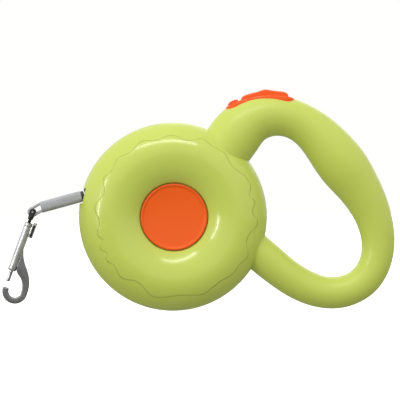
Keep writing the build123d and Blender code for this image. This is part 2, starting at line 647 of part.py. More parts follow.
with BuildPart() as thumb_tab:
    with BuildSketch(SNAP):
        with Locations(((TAB_FACE + TAB_BACK) / 2, -(TAB_TOP + TAB_END) / 2)):
            Rectangle(TAB_BACK - TAB_FACE, TAB_END - TAB_TOP)
    extrude(amount=1.5, both=True)
    with BuildSketch(SNAP):
        with Locations((TAB_FACE / 2 + 0.2, -(STEM[0] + STEM[1]) / 2)):
            Rectangle(TAB_FACE, STEM[1] - STEM[0])
    extrude(amount=0.75, both=True)
    # ribs for the thumb
    with BuildSketch(SNAP):
        with Locations(*[(TAB_BACK, -TAB_TOP - 1.0 - 0.9 * rib) for rib in range(9)]):
            Circle(0.25)
    extrude(amount=3, both=True, mode=Mode.SUBTRACT)
    rod(BOLT_RADIUS, STEM[0] - 1, STEM[1] + 1, Mode.SUBTRACT)
finish(thumb_tab, "thumb_tab")


def coil_spring(start, direction, radius, wire, length, coils):
    """Round-wire compression spring."""
    with BuildPart() as spring:
        with BuildLine() as centre_line:
            Helix(pitch=(length - 2 * wire) / coils, height=length - 2 * wire, radius=radius,
                  center=start + direction * wire, direction=direction)
        with BuildSketch(Plane(origin=centre_line.line @ 0, z_dir=centre_line.line % 0)):
            Circle(wire)
        sweep(is_frenet=True)
    return spring.part


with BuildPart() as bolt_spring:
    add(coil_spring(at(EYE_X, EYE_Z) + SNAP_AXIS.direction * (SPRING_SEAT + 0.05),
                    SNAP_AXIS.direction, SPRING_COIL_RADIUS, SPRING_WIRE,
                    BOLT_COLLAR[0] - SPRING_SEAT - 0.1, 7))
finish(bolt_spring, "bolt_spring")

# ---- thumb controls -----------------------------------------------------------------------------
with BuildPart() as control_bezel:
    add(seat_prism(-SEAT_DEPTH, BEZEL_LIFT, BEZEL_HALF_WIDTH))
    with BuildSketch(FRONT):
        with Locations((sum(BEZEL_OPENING) / 2, 60)):
            Rectangle(BEZEL_OPENING[1] - BEZEL_OPENING[0], 30)
    extrude(amount=BUTTON_HALF_WIDTH + 0.4, both=True, mode=Mode.SUBTRACT)
    with BuildSketch(FRONT):
        with Locations((HINGE_X, HINGE_Z)):
            Circle(HINGE_PIN_RADIUS + 0.02)
    extrude(amount=20, both=True, mode=Mode.SUBTRACT)
finish(control_bezel, "control_bezel")

with BuildPart() as hinge_pin:
    with BuildSketch(FRONT):
        with Locations((HINGE_X, HINGE_Z)):
            Circle(HINGE_PIN_RADIUS)
    extrude(amount=BEZEL_HALF_WIDTH - 0.4, both=True)
finish(hinge_pin, "hinge_pin")

with BuildPart() as brake_button:
    with BuildSketch(FRONT):
        with BuildLine():
            Spline((36.1, 62.6), (37.2, 64.3), (40.5, 65.6), (44.5, 66.6), (48.8, 68.0), (52.2, 67.3),
                   (57.0, 66.9), (60.2, 66.2), (61.4, 65.0))
            Polyline((61.4, 65.0), (61.4, 59.9), (59.4, 59.3), (46.0, 60.4), (42.3, 60.2),
                     (41.4, 57.9), (36.1, 61.3), (36.1, 62.6))
        make_face()
    extrude(amount=BUTTON_HALF_WIDTH, both=True)
    fillet(brake_button.edges().filter_by(lambda e: e.center().Z > REEL_Z + 63.5
                                          and abs(e.center().Y) > 4), radius=1.0)
    # side skirts with the lips that the lock slider catches
    with BuildSketch(LOCK):
        with BuildLine():
            Polyline((LIP_TIP, -3.2), (LIP_TIP, -2.2), (2.4, -2.2), (2.4, 2.0), (4.6, 2.0),
                     (4.6, -3.2), close=True)
        make_face()
    extrude(amount=FORK_OUTER, both=True)
    with BuildSketch(LOCK):
        with Locations((2, -3.5)):
            Rectangle(8, 7)
    extrude(amount=FORK_INNER, both=True, mode=Mode.SUBTRACT)
    with BuildSketch(FRONT):
        with BuildLine():
            Polyline((61.4, 60.0), (46.0, 60.6), (42.3, 60.4), (41.0, 58.1), (36.3, 61.4),
                     (38.0, 63.2), (61.4, 64), close=True)
        make_face()
    extrude(amount=FORK_INNER, both=True)
    with BuildSketch(FRONT):
        with Locations((HINGE_X, HINGE_Z)):
            Circle(HINGE_PIN_RADIUS + RUNNING)
    extrude(amount=20, both=True, mode=Mode.SUBTRACT)
finish(brake_button, "brake_button")

with BuildPart() as lock_slider:
    with BuildSketch(LOCK):
        with BuildLine():
            Polyline((-5.0, 1.5), (-4.8, 1.15), (0.1, 1.15), (0.1, 2.1))
            Spline((0.1, 2.1), (-2.4, 2.2), (-5.0, 1.5))
        make_face()
    extrude(amount=BUTTON_HALF_WIDTH, both=True)
    with BuildSketch(LOCK):
        with BuildLine():
            Polyline((-3.6, 1.5), (-3.6, -4.6), (TONGUE_TIP, -4.6), (TONGUE_TIP, -3.6), (-1.2, -3.6),
                     (-1.2, 1.5), close=True)
        make_face()
    extrude(amount=FORK_OUTER, both=True)
    with BuildSketch(LOCK):
        with Locations((-1, -3.0)):
            Rectangle(10, 8)
    extrude(amount=FORK_INNER, both=True, mode=Mode.SUBTRACT)
finish(lock_slider, "lock_slider")

with BuildPart() as brake_pawl:
    with BuildSketch(pawl_section(PAWL_TIP)):
        Rectangle(2 * FLANGE_OUTER + 1, 4)
    extrude(amount=3.6)
    with BuildSketch(pawl_section(PAWL_TIP + 3)):
        Circle(PAWL_ROD_RADIUS)
    extrude(amount=PAWL_HEAD - PAWL_TIP - 4)
    with BuildSketch(pawl_section(PAWL_HEAD - PAWL_HEAD_THICKNESS)):
        Circle(PAWL_HEAD_RADIUS)
    extrude(amount=PAWL_HEAD_THICKNESS)
finish(brake_pawl, "brake_pawl")

spring_start = RIB_DISTANCES[1] + RIB_THICKNESS / 2
with BuildPart() as brake_spring:
    add(coil_spring(pawl_section(spring_start).origin, heading(PAWL_HEADING), 2.55, 0.3,
                    PAWL_HEAD - PAWL_HEAD_THICKNESS - spring_start, 5))
finish(brake_spring, "brake_spring")
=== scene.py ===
"""Looks of the retractable pet leash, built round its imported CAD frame.

Lengths that are named here are in millimetres and become metres in the placing functions.
"""
import json
from math import atan2, cos, hypot, pi, radians, sin, sqrt

import bmesh
import bpy
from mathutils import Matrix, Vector
from mathutils.bvhtree import BVHTree


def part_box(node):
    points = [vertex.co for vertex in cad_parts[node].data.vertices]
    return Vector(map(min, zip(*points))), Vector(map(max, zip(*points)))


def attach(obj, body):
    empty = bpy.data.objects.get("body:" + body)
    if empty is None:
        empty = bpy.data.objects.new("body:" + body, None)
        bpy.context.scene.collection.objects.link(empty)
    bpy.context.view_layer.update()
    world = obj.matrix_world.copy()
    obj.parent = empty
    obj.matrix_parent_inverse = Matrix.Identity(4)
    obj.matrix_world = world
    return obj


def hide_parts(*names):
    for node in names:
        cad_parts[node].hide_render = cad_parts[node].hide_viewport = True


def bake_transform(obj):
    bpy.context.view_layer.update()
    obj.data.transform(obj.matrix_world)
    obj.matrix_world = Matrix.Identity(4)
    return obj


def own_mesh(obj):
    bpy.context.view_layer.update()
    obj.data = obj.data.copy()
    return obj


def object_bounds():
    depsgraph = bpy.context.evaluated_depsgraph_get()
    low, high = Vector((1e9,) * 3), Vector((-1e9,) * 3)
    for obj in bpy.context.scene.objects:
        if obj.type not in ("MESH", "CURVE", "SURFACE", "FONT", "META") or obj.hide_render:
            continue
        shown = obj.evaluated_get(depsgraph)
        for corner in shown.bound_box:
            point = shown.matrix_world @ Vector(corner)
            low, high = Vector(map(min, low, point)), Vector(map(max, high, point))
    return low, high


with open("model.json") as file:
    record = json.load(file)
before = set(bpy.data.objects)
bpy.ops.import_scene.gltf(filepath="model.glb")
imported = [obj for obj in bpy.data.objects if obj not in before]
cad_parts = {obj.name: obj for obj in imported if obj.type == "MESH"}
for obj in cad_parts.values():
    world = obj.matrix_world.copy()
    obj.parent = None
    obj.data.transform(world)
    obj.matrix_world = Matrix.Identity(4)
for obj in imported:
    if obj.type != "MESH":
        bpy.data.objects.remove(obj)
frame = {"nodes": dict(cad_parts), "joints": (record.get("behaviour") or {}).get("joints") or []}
cad_low, cad_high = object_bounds()

MM = 0.001
FRONT = Vector((0, -1, 0))


# ---- places that come from the frame ------------------------------------------------------------
def joint(name):
    return next(j for j in frame["joints"] if j["name"] == name)


def middle(node):
    low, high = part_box(node)
    return (low + high) / 2


REEL = middle("wound_tape")
EYE = Vector(joint("loop_pivot")["pos_m"])
SNAP_DOWN = Vector(joint("snap_swivel")["axis"]).normalized()
SNAP_ACROSS = FRONT.cross(SNAP_DOWN).normalized()
PULL = Vector(joint("leash_pull")["axis"]).normalized()
PULL_UP = PULL.cross(Vector((0, -1, 0))).normalized()
LOCK_ALONG = Vector(joint("lock_slide")["axis"]).normalized()
LOCK_UP = FRONT.cross(LOCK_ALONG).normalized()

SLEEVE_LENGTH, SLEEVE_WIDTH, SLEEVE_HEIGHT = 23.6, 12.4, 6.0
SLEEVE_MIDDLE = middle("leash_sleeve")


def casing_point(x, z, depth=0.0):
    """Point from the reel centre: x to the right, z up, depth towards the front."""
    return REEL + Vector((x, -depth, z)) * MM


def snap_point(across, down, depth=0.0):
    """Point from the eye bar: across and down the snap."""
    return EYE + (SNAP_ACROSS * across + SNAP_DOWN * down + FRONT * depth) * MM


def pull_point(along, up, depth=0.0):
    """Point from the middle of the sleeve, along the tape and above it."""
    return SLEEVE_MIDDLE + (PULL * along + PULL_UP * up + FRONT * depth) * MM


# ---- mesh building ------------------------------------------------------------------------------
def loft(rings, wrap=False):
    """Skin over rings of points, closed into a tube end to end or capped at both ends."""
    count = len(rings[0])
    points = [p for ring in rings for p in ring]
    faces = []
    for i in range(len(rings) if wrap else len(rings) - 1):
        low, high = i * count, (i + 1) % len(rings) * count
        for k in range(count):
            following = (k + 1) % count
            faces.append((low + k, low + following, high + following, high + k))
    if not wrap:
        faces.append(tuple(range(count)))
        faces.append(tuple(range(len(points) - count, len(points))))
    return points, faces


def joined(parts):
    """Several (points, faces) as one."""
    points, faces = [], []
    for more_points, more_faces in parts:
        start = len(points)
        points += more_points
        faces += [tuple(start + i for i in face) for face in more_faces]
    return points, faces


def revolved(profile, origin, axis, steps=72, wrap=False):
    """Skin of a profile of (radius, distance along the axis), in millimetres, turned about it."""
    side = axis.orthogonal().normalized()
    other = axis.cross(side).normalized()
    rings = []
    for radius, distance in profile:
        centre = origin + axis * (distance * MM)
        rings.append([
            centre + (side * cos(2 * pi * k / steps) + other * sin(2 * pi * k / steps)) * (radius * MM)
            for k in range(steps)
        ])
    return loft(rings, wrap)


def piece(name, shape, material, sharp=40):
    """New mesh object, smooth apart from edges sharper than so many degrees."""
    mesh = bpy.data.meshes.new(name)
    points, faces = shape
    mesh.from_pydata([tuple(p) for p in points], [], faces)
    clean = bmesh.new()
    clean.from_mesh(mesh)
    bmesh.ops.remove_doubles(clean, verts=clean.verts, dist=1e-6)
    bmesh.ops.dissolve_degenerate(clean, dist=1e-7, edges=clean.edges)
    bmesh.ops.recalc_face_normals(clean, faces=clean.faces)
    clean.to_mesh(mesh)
    clean.free()
    mesh.shade_smooth()
    mesh.set_sharp_from_angle(angle=radians(sharp))
    mesh.materials.append(material)
    made = bpy.data.objects.new(name, mesh)
    bpy.context.scene.collection.objects.link(made)
    return made


def riding(made, body, slot, *nodes):
    """The piece moves with a body and may stand for CAD nodes; slot is not used."""
    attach(made, body)
    if nodes:
        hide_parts(*nodes)
    return made


def curve_through(points, steps):
    """Catmull-Rom curve through tuples of numbers, with so many steps between two of them."""
    ends = [tuple(2 * a - b for a, b in zip(points[0], points[1]))]
    tail = [tuple(2 * a - b for a, b in zip(points[-1], points[-2]))]
    path = ends + list(points) + tail
    out = []
    for i in range(1, len(path) - 2):
        p0, p1, p2, p3 = path[i - 1:i + 3]
        for step in range(steps):
            t = step / steps
            out.append(tuple(
                0.5 * (2 * b + (c - a) * t + (2 * a - 5 * b + 4 * c - d) * t * t
                       + (3 * b - a - 3 * c + d) * t**3)
                for a, b, c, d in zip(p0, p1, p2, p3)
            ))
    out.append(tuple(points[-1]))
    return out


def rounded_box(half_width, half_height, radius, corner_steps=5):
    """Outline of a rectangle with round corners, as (x, y) in order."""
    outline = []
    for quarter, (sx, sy) in enumerate(((1, 1), (-1, 1), (-1, -1), (1, -1))):
        for step in range(corner_steps + 1):
            angle = pi / 2 * (quarter + step / corner_steps)
            outline.append((
                sx * (half_width - radius) + radius * cos(angle),
                sy * (half_height - radius) + radius * sin(angle),
            ))
    return outline


# ---- materials ----------------------------------------------------------------------------------
def srgb(red, green, blue):
    """Linear colour of a display colour given from 0 to 255."""
    def linear(value):
        value /= 255
        return value / 12.92 if value <= 0.04045 else ((value + 0.055) / 1.055) ** 2.4
    return (linear(red), linear(green), linear(blue), 1.0)


class Nodes:
    """Short way to add and link shader nodes in a new material."""

    def __init__(self, name):
        self.material = bpy.data.materials.new(name)
        self.material.use_nodes = True
        self.tree = self.material.node_tree
        self.shader = self.tree.nodes["Principled BSDF"]

    def add(self, kind, inputs=None, **settings):
        node = self.tree.nodes.new(kind)
        for key, value in settings.items():
            setattr(node, key, value)
        for key, value in (inputs or {}).items():
            self.connect(value, node.inputs[key])
        return node

    def connect(self, value, socket):
        if isinstance(value, bpy.types.NodeSocket):
            self.tree.links.new(value, socket)
        else:
            socket.default_value = value

    def math(self, operation, *values, clamp=False):
        node = self.tree.nodes.new("ShaderNodeMath")
        node.operation, node.use_clamp = operation, clamp
        for socket, value in zip(node.inputs, values):
            self.connect(value, socket)
        return node.outputs[0]

    def blend(self, factor, first, second):
        node = self.add("ShaderNodeMix", data_type="RGBA")
        self.connect(factor, node.inputs[0])
        self.connect(first, node.inputs[6])
        self.connect(second, node.inputs[7])
        return node.outputs[2]

    def spread(self, value, low, high, new_low, new_high):
        node = self.add("ShaderNodeMapRange", interpolation_type="SMOOTHSTEP")
        for socket, number in zip(node.inputs, (value, low, high, new_low, new_high)):
            self.connect(number, socket)
        return node.outputs[0]

    def place(self, turn=0.0):
        """Place in the row frame, in metres, turned about Y."""
        here = self.add("ShaderNodeTexCoord").outputs["Object"]
        if not turn:
            return here
        return self.add("ShaderNodeMapping", {"Vector": here, "Rotation": (0, turn, 0)}).outputs[0]

    def noise(self, where, scale, detail=2.0):
        return self.add("ShaderNodeTexNoise",
                        {"Vector": where, "Scale": scale, "Detail": detail}).outputs[0]

    def edges(self, low=0.54, high=0.62):
        """Pointiness mask, 1 on sharp outer edges and 0 on flats: worn edges on plastic; metal inverts
        it, with lower limits, into painted shade in its hollows.
        """
        return self.spread(self.add("ShaderNodeNewGeometry").outputs["Pointiness"], low, high, 0, 1)

    def bump(self, height, depth_mm, strength=1.0):
        node = self.add("ShaderNodeBump", {
            "Height": height, "Distance": depth_mm * MM, "Strength": strength,
        })
        self.connect(node.outputs[0], self.shader.inputs["Normal"])

    def surface(self, color, roughness, **uniform):
        self.connect(color, self.shader.inputs["Base Color"])
        self.connect(roughness, self.shader.inputs["Roughness"])
        for name, value in uniform.items():
            self.shader.inputs[name.replace("_", " ")].default_value = value
        return self.material


def plastic(name, color, shade, gloss=0.22, grain_mm=0.9, grain_depth_mm=0.003, coat=0.35,
            gleam=0.5, wear=0.08, parting=False):
    """Moulded plastic: slight flow in its colour, orange-peel skin, worn edges."""
    n = Nodes(name)
    where = n.place()
    flow = n.spread(n.noise(where, 22, 2), 0.2, 0.8, 0, 0.5)
    worn = n.math("MULTIPLY", n.edges(), wear)
    tint = n.blend(worn, n.blend(flow, color, shade), (1, 1, 1, 1))
    peel = n.noise(where, 1 / (grain_mm * MM), 1)
    specks = n.noise(where, 6000, 2)
    height = n.math("ADD", peel, n.math("MULTIPLY", specks, 0.2))
    rough = n.math("ADD", n.spread(n.noise(where, 90, 4), 0.3, 0.7, gloss - 0.03, gloss + 0.05),
                   worn)
    if parting:
        side = n.add("ShaderNodeSeparateXYZ", {"Vector": where}).outputs["Y"]
        groove = n.spread(n.math("ABSOLUTE", side), 0.05 * MM, 0.22 * MM, 1, 0)
        tint = n.blend(n.math("MULTIPLY", groove, 0.55), tint, tuple(0.3 * c for c in shade[:3]) + (1,))
        height = n.math("SUBTRACT", height, n.math("MULTIPLY", groove, 12.0))
    n.bump(height, grain_depth_mm)
    return n.surface(tint, rough, Coat_Weight=coat, Coat_Roughness=0.08, Specular_IOR_Level=gleam)


def metal(name, color, dark, roughness, scratch_depth_mm=0.004):
    """Plated or drawn metal: fine scratches, cloudy gloss, and painted shade that darkens it in its
    hollows.
    """
    n = Nodes(name)
    where = n.place()
    cloud = n.spread(n.noise(where, 160, 4), 0.3, 0.7, 0, 0.5)
    # painted shade: low pointiness (hollows) blends the colour towards dark, standing in for shade
    # falling there
    hollow = n.math("SUBTRACT", 0.7, n.edges(0.44, 0.53), clamp=True)
    tint = n.blend(n.math("MAXIMUM", cloud, hollow), color, dark)
    lines = n.add("ShaderNodeMapping", {"Vector": where, "Scale": (900, 900, 12000),
                                        "Rotation": (0, radians(20), 0)}).outputs[0]
    scratches = n.noise(lines, 1.0, 3)
    rough = n.math("ADD", n.spread(scratches, 0.3, 0.8, roughness - 0.05, roughness + 0.08),
                   n.math("MULTIPLY", cloud, 0.06))
    n.bump(scratches, scratch_depth_mm)
    return n.surface(tint, rough, Metallic=1.0)


def webbing(name, color, shade, yarn_mm=0.55, depth_mm=0.12, sheen=0.25):
    """Woven polyester tape: yarns along and across the pull line."""
    n = Nodes(name)
    where = n.place(atan2(PULL.z, PULL.x))
    parts = n.add("ShaderNodeSeparateXYZ", {"Vector": where})
    pitch = 2 * pi / (yarn_mm * MM)
    along = n.math("SINE", n.math("MULTIPLY", parts.outputs["X"], pitch))
    across = n.math("SINE", n.math("MULTIPLY", parts.outputs["Y"], pitch))
    cell = n.math("MULTIPLY", along, across)
    weave = n.spread(cell, -1, 1, 0, 1)
    fuzz = n.noise(where, 5200, 3)
    height = n.math("ADD", weave, n.math("MULTIPLY", fuzz, 0.5))
    patch = n.spread(n.noise(where, 150, 3), 0.35, 0.65, 0, 0.3)
    tint = n.blend(n.math("ADD", n.math("MULTIPLY", weave, 0.5), patch), color, shade)
    n.bump(height, depth_mm)
    return n.surface(tint, n.spread(fuzz, 0.3, 0.7, 0.72, 0.9), Sheen_Weight=sheen,
                     Sheen_Roughness=0.4)


def thread(name, color, shade):
    """Twisted sewing thread."""
    n = Nodes(name)
    where = n.place(atan2(PULL.z, PULL.x))
    twist = n.add("ShaderNodeTexWave", {"Vector": where, "Scale": 700, "Distortion": 1.5},
                  bands_direction="DIAGONAL").outputs["Fac"]
    n.bump(twist, 0.05)
    return n.surface(n.blend(twist, color, shade), n.spread(twist, 0, 1, 0.55, 0.75))


GREEN = plastic("casing_green", srgb(204, 218, 96), srgb(197, 211, 86), gloss=0.36, coat=0.08,
                parting=True)
COVER_GREEN = plastic("cover_green", srgb(204, 218, 96), srgb(197, 211, 86), gloss=0.2, coat=0.3,
                      wear=0.0)
CAP_ORANGE = plastic("cap_orange", srgb(252, 100, 18), srgb(248, 92, 16), gloss=0.34, coat=0.1, gleam=0.3)
CONTROL_ORANGE = plastic("control_orange", srgb(250, 94, 12), srgb(246, 84, 10), gloss=0.32, coat=0.1,
                         gleam=0.25)
REEL_GREY = plastic("reel_plastic", srgb(222, 222, 218), srgb(205, 205, 200), gloss=0.42, coat=0)
GUIDE_BLACK = plastic("guide_black", srgb(44, 44, 46), srgb(30, 30, 32), gloss=0.4, coat=0)
NYLON = plastic("washer_nylon", srgb(236, 234, 226), srgb(222, 220, 210), gloss=0.45, coat=0)
SPRING_STEEL = metal("spring_steel", srgb(150, 152, 158), srgb(96, 98, 104), 0.3)
BRIGHT_STEEL = metal("bright_steel", srgb(205, 206, 210), srgb(120, 122, 126), 0.2)
BARREL_METAL = metal("barrel_metal", srgb(222, 222, 222), srgb(150, 150, 152), 0.3)
HOOK_METAL = metal("hook_metal", srgb(140, 140, 142), srgb(100, 100, 102), 0.36)
# on the swivel's fork and post this dark colour is painted reflection and painted shade
DARK_METAL = metal("dark_metal", srgb(72, 72, 74), srgb(36, 36, 38), 0.36)
TAPE_GREY = webbing("tape_grey", srgb(204, 205, 208), srgb(160, 162, 166))
SLEEVE_GREY = webbing("sleeve_grey", srgb(186, 187, 190), srgb(158, 159, 163), yarn_mm=0.32,
                      depth_mm=0.05, sheen=0.35)
THREAD = thread("stitch_thread", srgb(150, 151, 155), srgb(112, 113, 117))


# ---- CAD nodes that are shown as they are -------------------------------------------------------
def dress(node, material, sharp=30):
    """A CAD node gets its material and smooth shading."""
    shown = frame["nodes"][node]
    shown.data.materials.clear()
    shown.data.materials.append(material)
    shown.data.shade_smooth()
    shown.data.set_sharp_from_angle(angle=radians(sharp))


def dress_cad_nodes():
    finishes = {
        "front_shell": GREEN, "back_shell": GREEN, "casing_screws": BRIGHT_STEEL,
        "reel": REEL_GREY, "reel_lid": REEL_GREY, "reel_lid_screws": BRIGHT_STEEL,
        "reel_axle": BRIGHT_STEEL, "reel_washers": NYLON, "mainspring": SPRING_STEEL,
        "wound_tape": TAPE_GREY, "tape_guide": GUIDE_BLACK, "tape_guide_pin": BRIGHT_STEEL,
        "hinge_pin": BRIGHT_STEEL, "brake_pawl": GUIDE_BLACK,
    }
    for node, material in finishes.items():
        dress(node, material)


# ---- ring covers --------------------------------------------------------------------------------
COVER_RIM, COVER_CREST, COVER_DEPTH = 50.4, 33.5, 17.0
COVER_INNER = 18.1
SHOULDER_RADIUS = 22.97
SHELL_RIM, SHELL_DEPTH = 50.0, 16.5
STEP = 0.26                     # cover above the shell at its scalloped edge
LIP = 0.22                      # rounding of the scalloped lip
LIP_DROP = 0.75                 # lip's foot below the cover's surface
COVER_STEPS = 720
SCALLOP_SOFTENING = 2           # passes over the edge's radii
COVER_SPANS = 26                # runs from the inner rounding out to the lip
COVER_ROUNDING = 0.35           # inner edge beside the cap
COVER_SKIN, COVER_BACK = 1.3, 4.0


def cover_depth(radius, edge=COVER_RIM):
    """Depth of the cover's surface in front of the mid-plane; it thins out towards its edge."""
    if radius <= COVER_CREST:
        return COVER_DEPTH - SHOULDER_RADIUS + sqrt(SHOULDER_RADIUS**2 - (COVER_CREST - radius) ** 2)
    outward = radius - COVER_CREST
    full = COVER_DEPTH * sqrt(1 - (outward / (COVER_RIM - COVER_CREST)) ** 2)
    thin = STEP + SHELL_DEPTH * sqrt(1 - (outward / (SHELL_RIM - COVER_CREST)) ** 2)
    share = min(1.0, outward / (edge - COVER_CREST))
    return full + (thin - full) * share * share * (3 - 2 * share)


def outline_of_cover():
    """Corners of the CAD cover's scalloped edge as (angle, x, z), in order round the reel."""
    mesh = frame["nodes"]["front_ring_cover"].data
    corners = {}
    for face in mesh.polygons:
        if abs(face.normal.y) > 0.05:
            continue
        for index in face.vertices:
            offset = (mesh.vertices[index].co - REEL) / MM
            if hypot(offset.x, offset.z) > COVER_INNER + 5:
                corners[round(offset.x, 2), round(offset.z, 2)] = None
    return sorted((atan2(z, x), x, z) for x, z in corners)


def scallop_radii():
    """Radius of the scalloped edge at evenly spaced angles, softened a little."""
    corners = outline_of_cover()
    radii = []
    place = 0
    for step in range(COVER_STEPS):
        angle = -pi + 2 * pi * (step + 0.5) / COVER_STEPS
        while place < len(corners) and corners[place][0] < angle:
            place += 1
        _, x0, z0 = corners[place - 1]
        _, x1, z1 = corners[place % len(corners)]
        run_x, run_z = x1 - x0, z1 - z0
        across = cos(angle) * run_z - sin(angle) * run_x
        radii.append((x0 * run_z - z0 * run_x) / across)
    for _ in range(SCALLOP_SOFTENING):
        radii = [(radii[i - 1] + 2 * radii[i] + radii[(i + 1) % COVER_STEPS]) / 4
                 for i in range(COVER_STEPS)]
    return radii


def cover_profile(edge):
    """(radius, depth) from the cap's edge out to the scalloped lip and down to its foot."""
    inner = COVER_INNER
    start = inner + COVER_ROUNDING
    profile = [(inner, cover_depth(inner) - 1.4), (inner, cover_depth(inner) - COVER_ROUNDING),
               (inner + 0.1, cover_depth(inner) - 0.1), (start, cover_depth(start))]
    for step in range(1, COVER_SPANS + 1):
        radius = start + (edge - LIP - start) * step / COVER_SPANS
        profile.append((radius, cover_depth(radius, edge)))
    for step in range(1, 6):
        turn = pi / 2 * step / 5
        radius = edge - LIP + LIP * sin(turn)
        profile.append((radius, cover_depth(radius, edge) - LIP * (1 - cos(turn))))
    profile.append((edge, cover_depth(edge, edge) - LIP - LIP_DROP))
    return profile


def build_ring_covers():
    """Ring covers of both faces, each with its scalloped edge."""
    radii = scallop_radii()
    for side, name in ((1, "front"), (-1, "back")):
        rings = []
        for step, edge in enumerate(radii):
            angle = -pi + 2 * pi * (step + 0.5) / COVER_STEPS
            profile = cover_profile(edge)
            under = [(radius, max(depth - COVER_SKIN, COVER_BACK))
                     for radius, depth in reversed(profile[4:-2])]
            rings.append([
                casing_point(radius * cos(angle), radius * sin(angle), side * depth)
                for radius, depth in profile + under
            ])
        cover = piece(f"{name}_frosted_ring", loft(rings, wrap=True), COVER_GREEN, sharp=60)
        riding(cover, "casing", "casing_green", f"{name}_ring_cover")


# ---- centre caps --------------------------------------------------------------------------------
CAP_RADIUS, CAP_RIM_DEPTH, CAP_BACK = 17.6, 10.8, 8.9
CAP_RIM_WIDTH, CAP_ROUNDING = 2.0, 0.7
DISH_EDGE_DEPTH, DISH_MIDDLE_DEPTH = 10.15, 9.35


def build_centre_caps():
    """Dished discs with a raised rim, one in each face."""
    profile = [(0, CAP_BACK), (CAP_RADIUS - 0.3, CAP_BACK), (CAP_RADIUS, CAP_BACK + 0.3)]
    for step in range(7):
        turn = pi / 2 * step / 6
        profile.append((CAP_RADIUS - CAP_ROUNDING * (1 - cos(turn)),
                        CAP_RIM_DEPTH - CAP_ROUNDING * (1 - sin(turn))))
    dish = CAP_RADIUS - CAP_RIM_WIDTH
    for step in range(1, 9):
        share = step / 8
        ease = share * share * (3 - 2 * share)
        profile.append((CAP_RADIUS - 0.9 - (CAP_RIM_WIDTH - 0.9) * share,
                        CAP_RIM_DEPTH - (CAP_RIM_DEPTH - DISH_EDGE_DEPTH) * ease))
    for step in range(1, 25):
        share = 1 - step / 24
        profile.append((dish * share,
                        DISH_MIDDLE_DEPTH + (DISH_EDGE_DEPTH - DISH_MIDDLE_DEPTH) * share**2))
    for side, name in ((1, "front"), (-1, "back")):
        cap = piece(f"{name}_disc", revolved(profile, REEL, FRONT * side, 144), CAP_ORANGE)
        riding(cap, "casing", "cap_orange", f"{name}_centre_cap")


# ---- tape, sleeve and loop ----------------------------------------------------------------------
TAPE_WIDTH, TAPE_THICKNESS = 10.0, 1.0
LOOP_THICKNESS = 1.4
LOOP_GAP = 1.3                  # round the eye bar, inside the loop
SLEEVE_WALL = 0.7
STOP_LENGTH = 1.5               # black stop at the sleeve's inner end
GUIDE_DISTANCE = 5.7            # from the sleeve back to the tape's bend over the guide pin
TAPE_IN_SLEEVE = 4.0


def strap(path, width, thickness, wrap=False):
    """Flat strap along a path of (along, up) from the middle of the sleeve."""
    section = rounded_box(thickness / 2, width / 2, thickness * 0.4)
    rings = []
    for i, (along, up) in enumerate(path):
        before = path[max(i - 1, 0)]
        after = path[min(i + 1, len(path) - 1)]
        run, rise = after[0] - before[0], after[1] - before[1]
        length = hypot(run, rise)
        rings.append([
            pull_point(along - rise / length * out, up + run / length * out, depth)
            for out, depth in section
        ])
    return loft(rings, wrap)


def build_tape():
    """Tape from the coil, round the guide pin and into the sleeve."""
    sleeve_start = -SLEEVE_LENGTH / 2
    low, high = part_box("leash_tape")
    corner = sleeve_start - GUIDE_DISTANCE
    start = Vector((high.x, 0, low.z)) - SLEEVE_MIDDLE
    coil_end = (start.dot(PULL) / MM + 1.0, start.dot(PULL_UP) / MM + 0.5)
    path = [coil_end]
    path += curve_through([
        (corner + (coil_end[0] - corner) * 0.35, coil_end[1] * 0.35), (corner + 0.6, -0.25),
        (corner + 2.0, 0.0),
    ], 6)
    run = sleeve_start + TAPE_IN_SLEEVE - path[-1][0]
    path += [(path[-1][0] + run * step / 24, 0.0) for step in range(1, 25)]
    tape = piece("pulled_tape", strap(path, TAPE_WIDTH, TAPE_THICKNESS), TAPE_GREY)
    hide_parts("leash_tape")
    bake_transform(tape)


def sleeve_ring(along, scale, hollow=0.0):
    """Closed section of the sleeve, a flattened oval that fills its box."""
    half_width = (SLEEVE_WIDTH / 2 - hollow) * scale
    half_height = (SLEEVE_HEIGHT / 2 - hollow) * scale
    ring = []
    for step in range(56):
        angle = 2 * pi * step / 56
        c, s = cos(angle), sin(angle)
        ring.append(pull_point(
            along,
            half_height * (abs(s) ** 0.72) * (1 if s > 0 else -1),
            half_width * (abs(c) ** 0.45) * (1 if c > 0 else -1),
        ))
    return ring


def build_sleeve():
    """Cloth sleeve over the tape's end, with a black stop that meets the tape guide."""
    half = SLEEVE_LENGTH / 2
    start = -half + STOP_LENGTH
    stop = piece("sleeve_stop", loft([
        sleeve_ring(-half, 0.78), sleeve_ring(-half + 0.2, 0.86), sleeve_ring(start - 0.2, 0.86),
        sleeve_ring(start + 1.0, 0.86),
    ]), GUIDE_BLACK)
    riding(stop, "leash_end", "guide_black")
    rings = [sleeve_ring(start + 1.6, 0.93, SLEEVE_WALL), sleeve_ring(start + 0.25, 0.95, SLEEVE_WALL)]
    rings += [sleeve_ring(start + 0.06, 0.93, SLEEVE_WALL * 0.4), sleeve_ring(start, 0.93)]
    rings += [sleeve_ring(start + 0.15, 0.965), sleeve_ring(start + 0.5, 0.985)]
    spans = 40
    for step in range(spans + 1):
        share = step / spans
        swell = 0.985 + 0.015 * sin(pi * share) + 0.004 * sin(9 * pi * share)
        rings.append(sleeve_ring(start + 0.9 + (half - start - 1.8) * share, min(swell, 1.0)))
    rings += [sleeve_ring(half - 0.5, 0.985), sleeve_ring(half - 0.15, 0.965), sleeve_ring(half, 0.93)]
    rings += [sleeve_ring(half - 0.06, 0.93, SLEEVE_WALL * 0.4),
              sleeve_ring(half - 0.25, 0.95, SLEEVE_WALL), sleeve_ring(half - 1.6, 0.93, SLEEVE_WALL)]
    sleeve = piece("stitched_sleeve", loft(rings), SLEEVE_GREY, sharp=70)
    riding(sleeve, "leash_end", "sleeve_grey", "leash_sleeve")


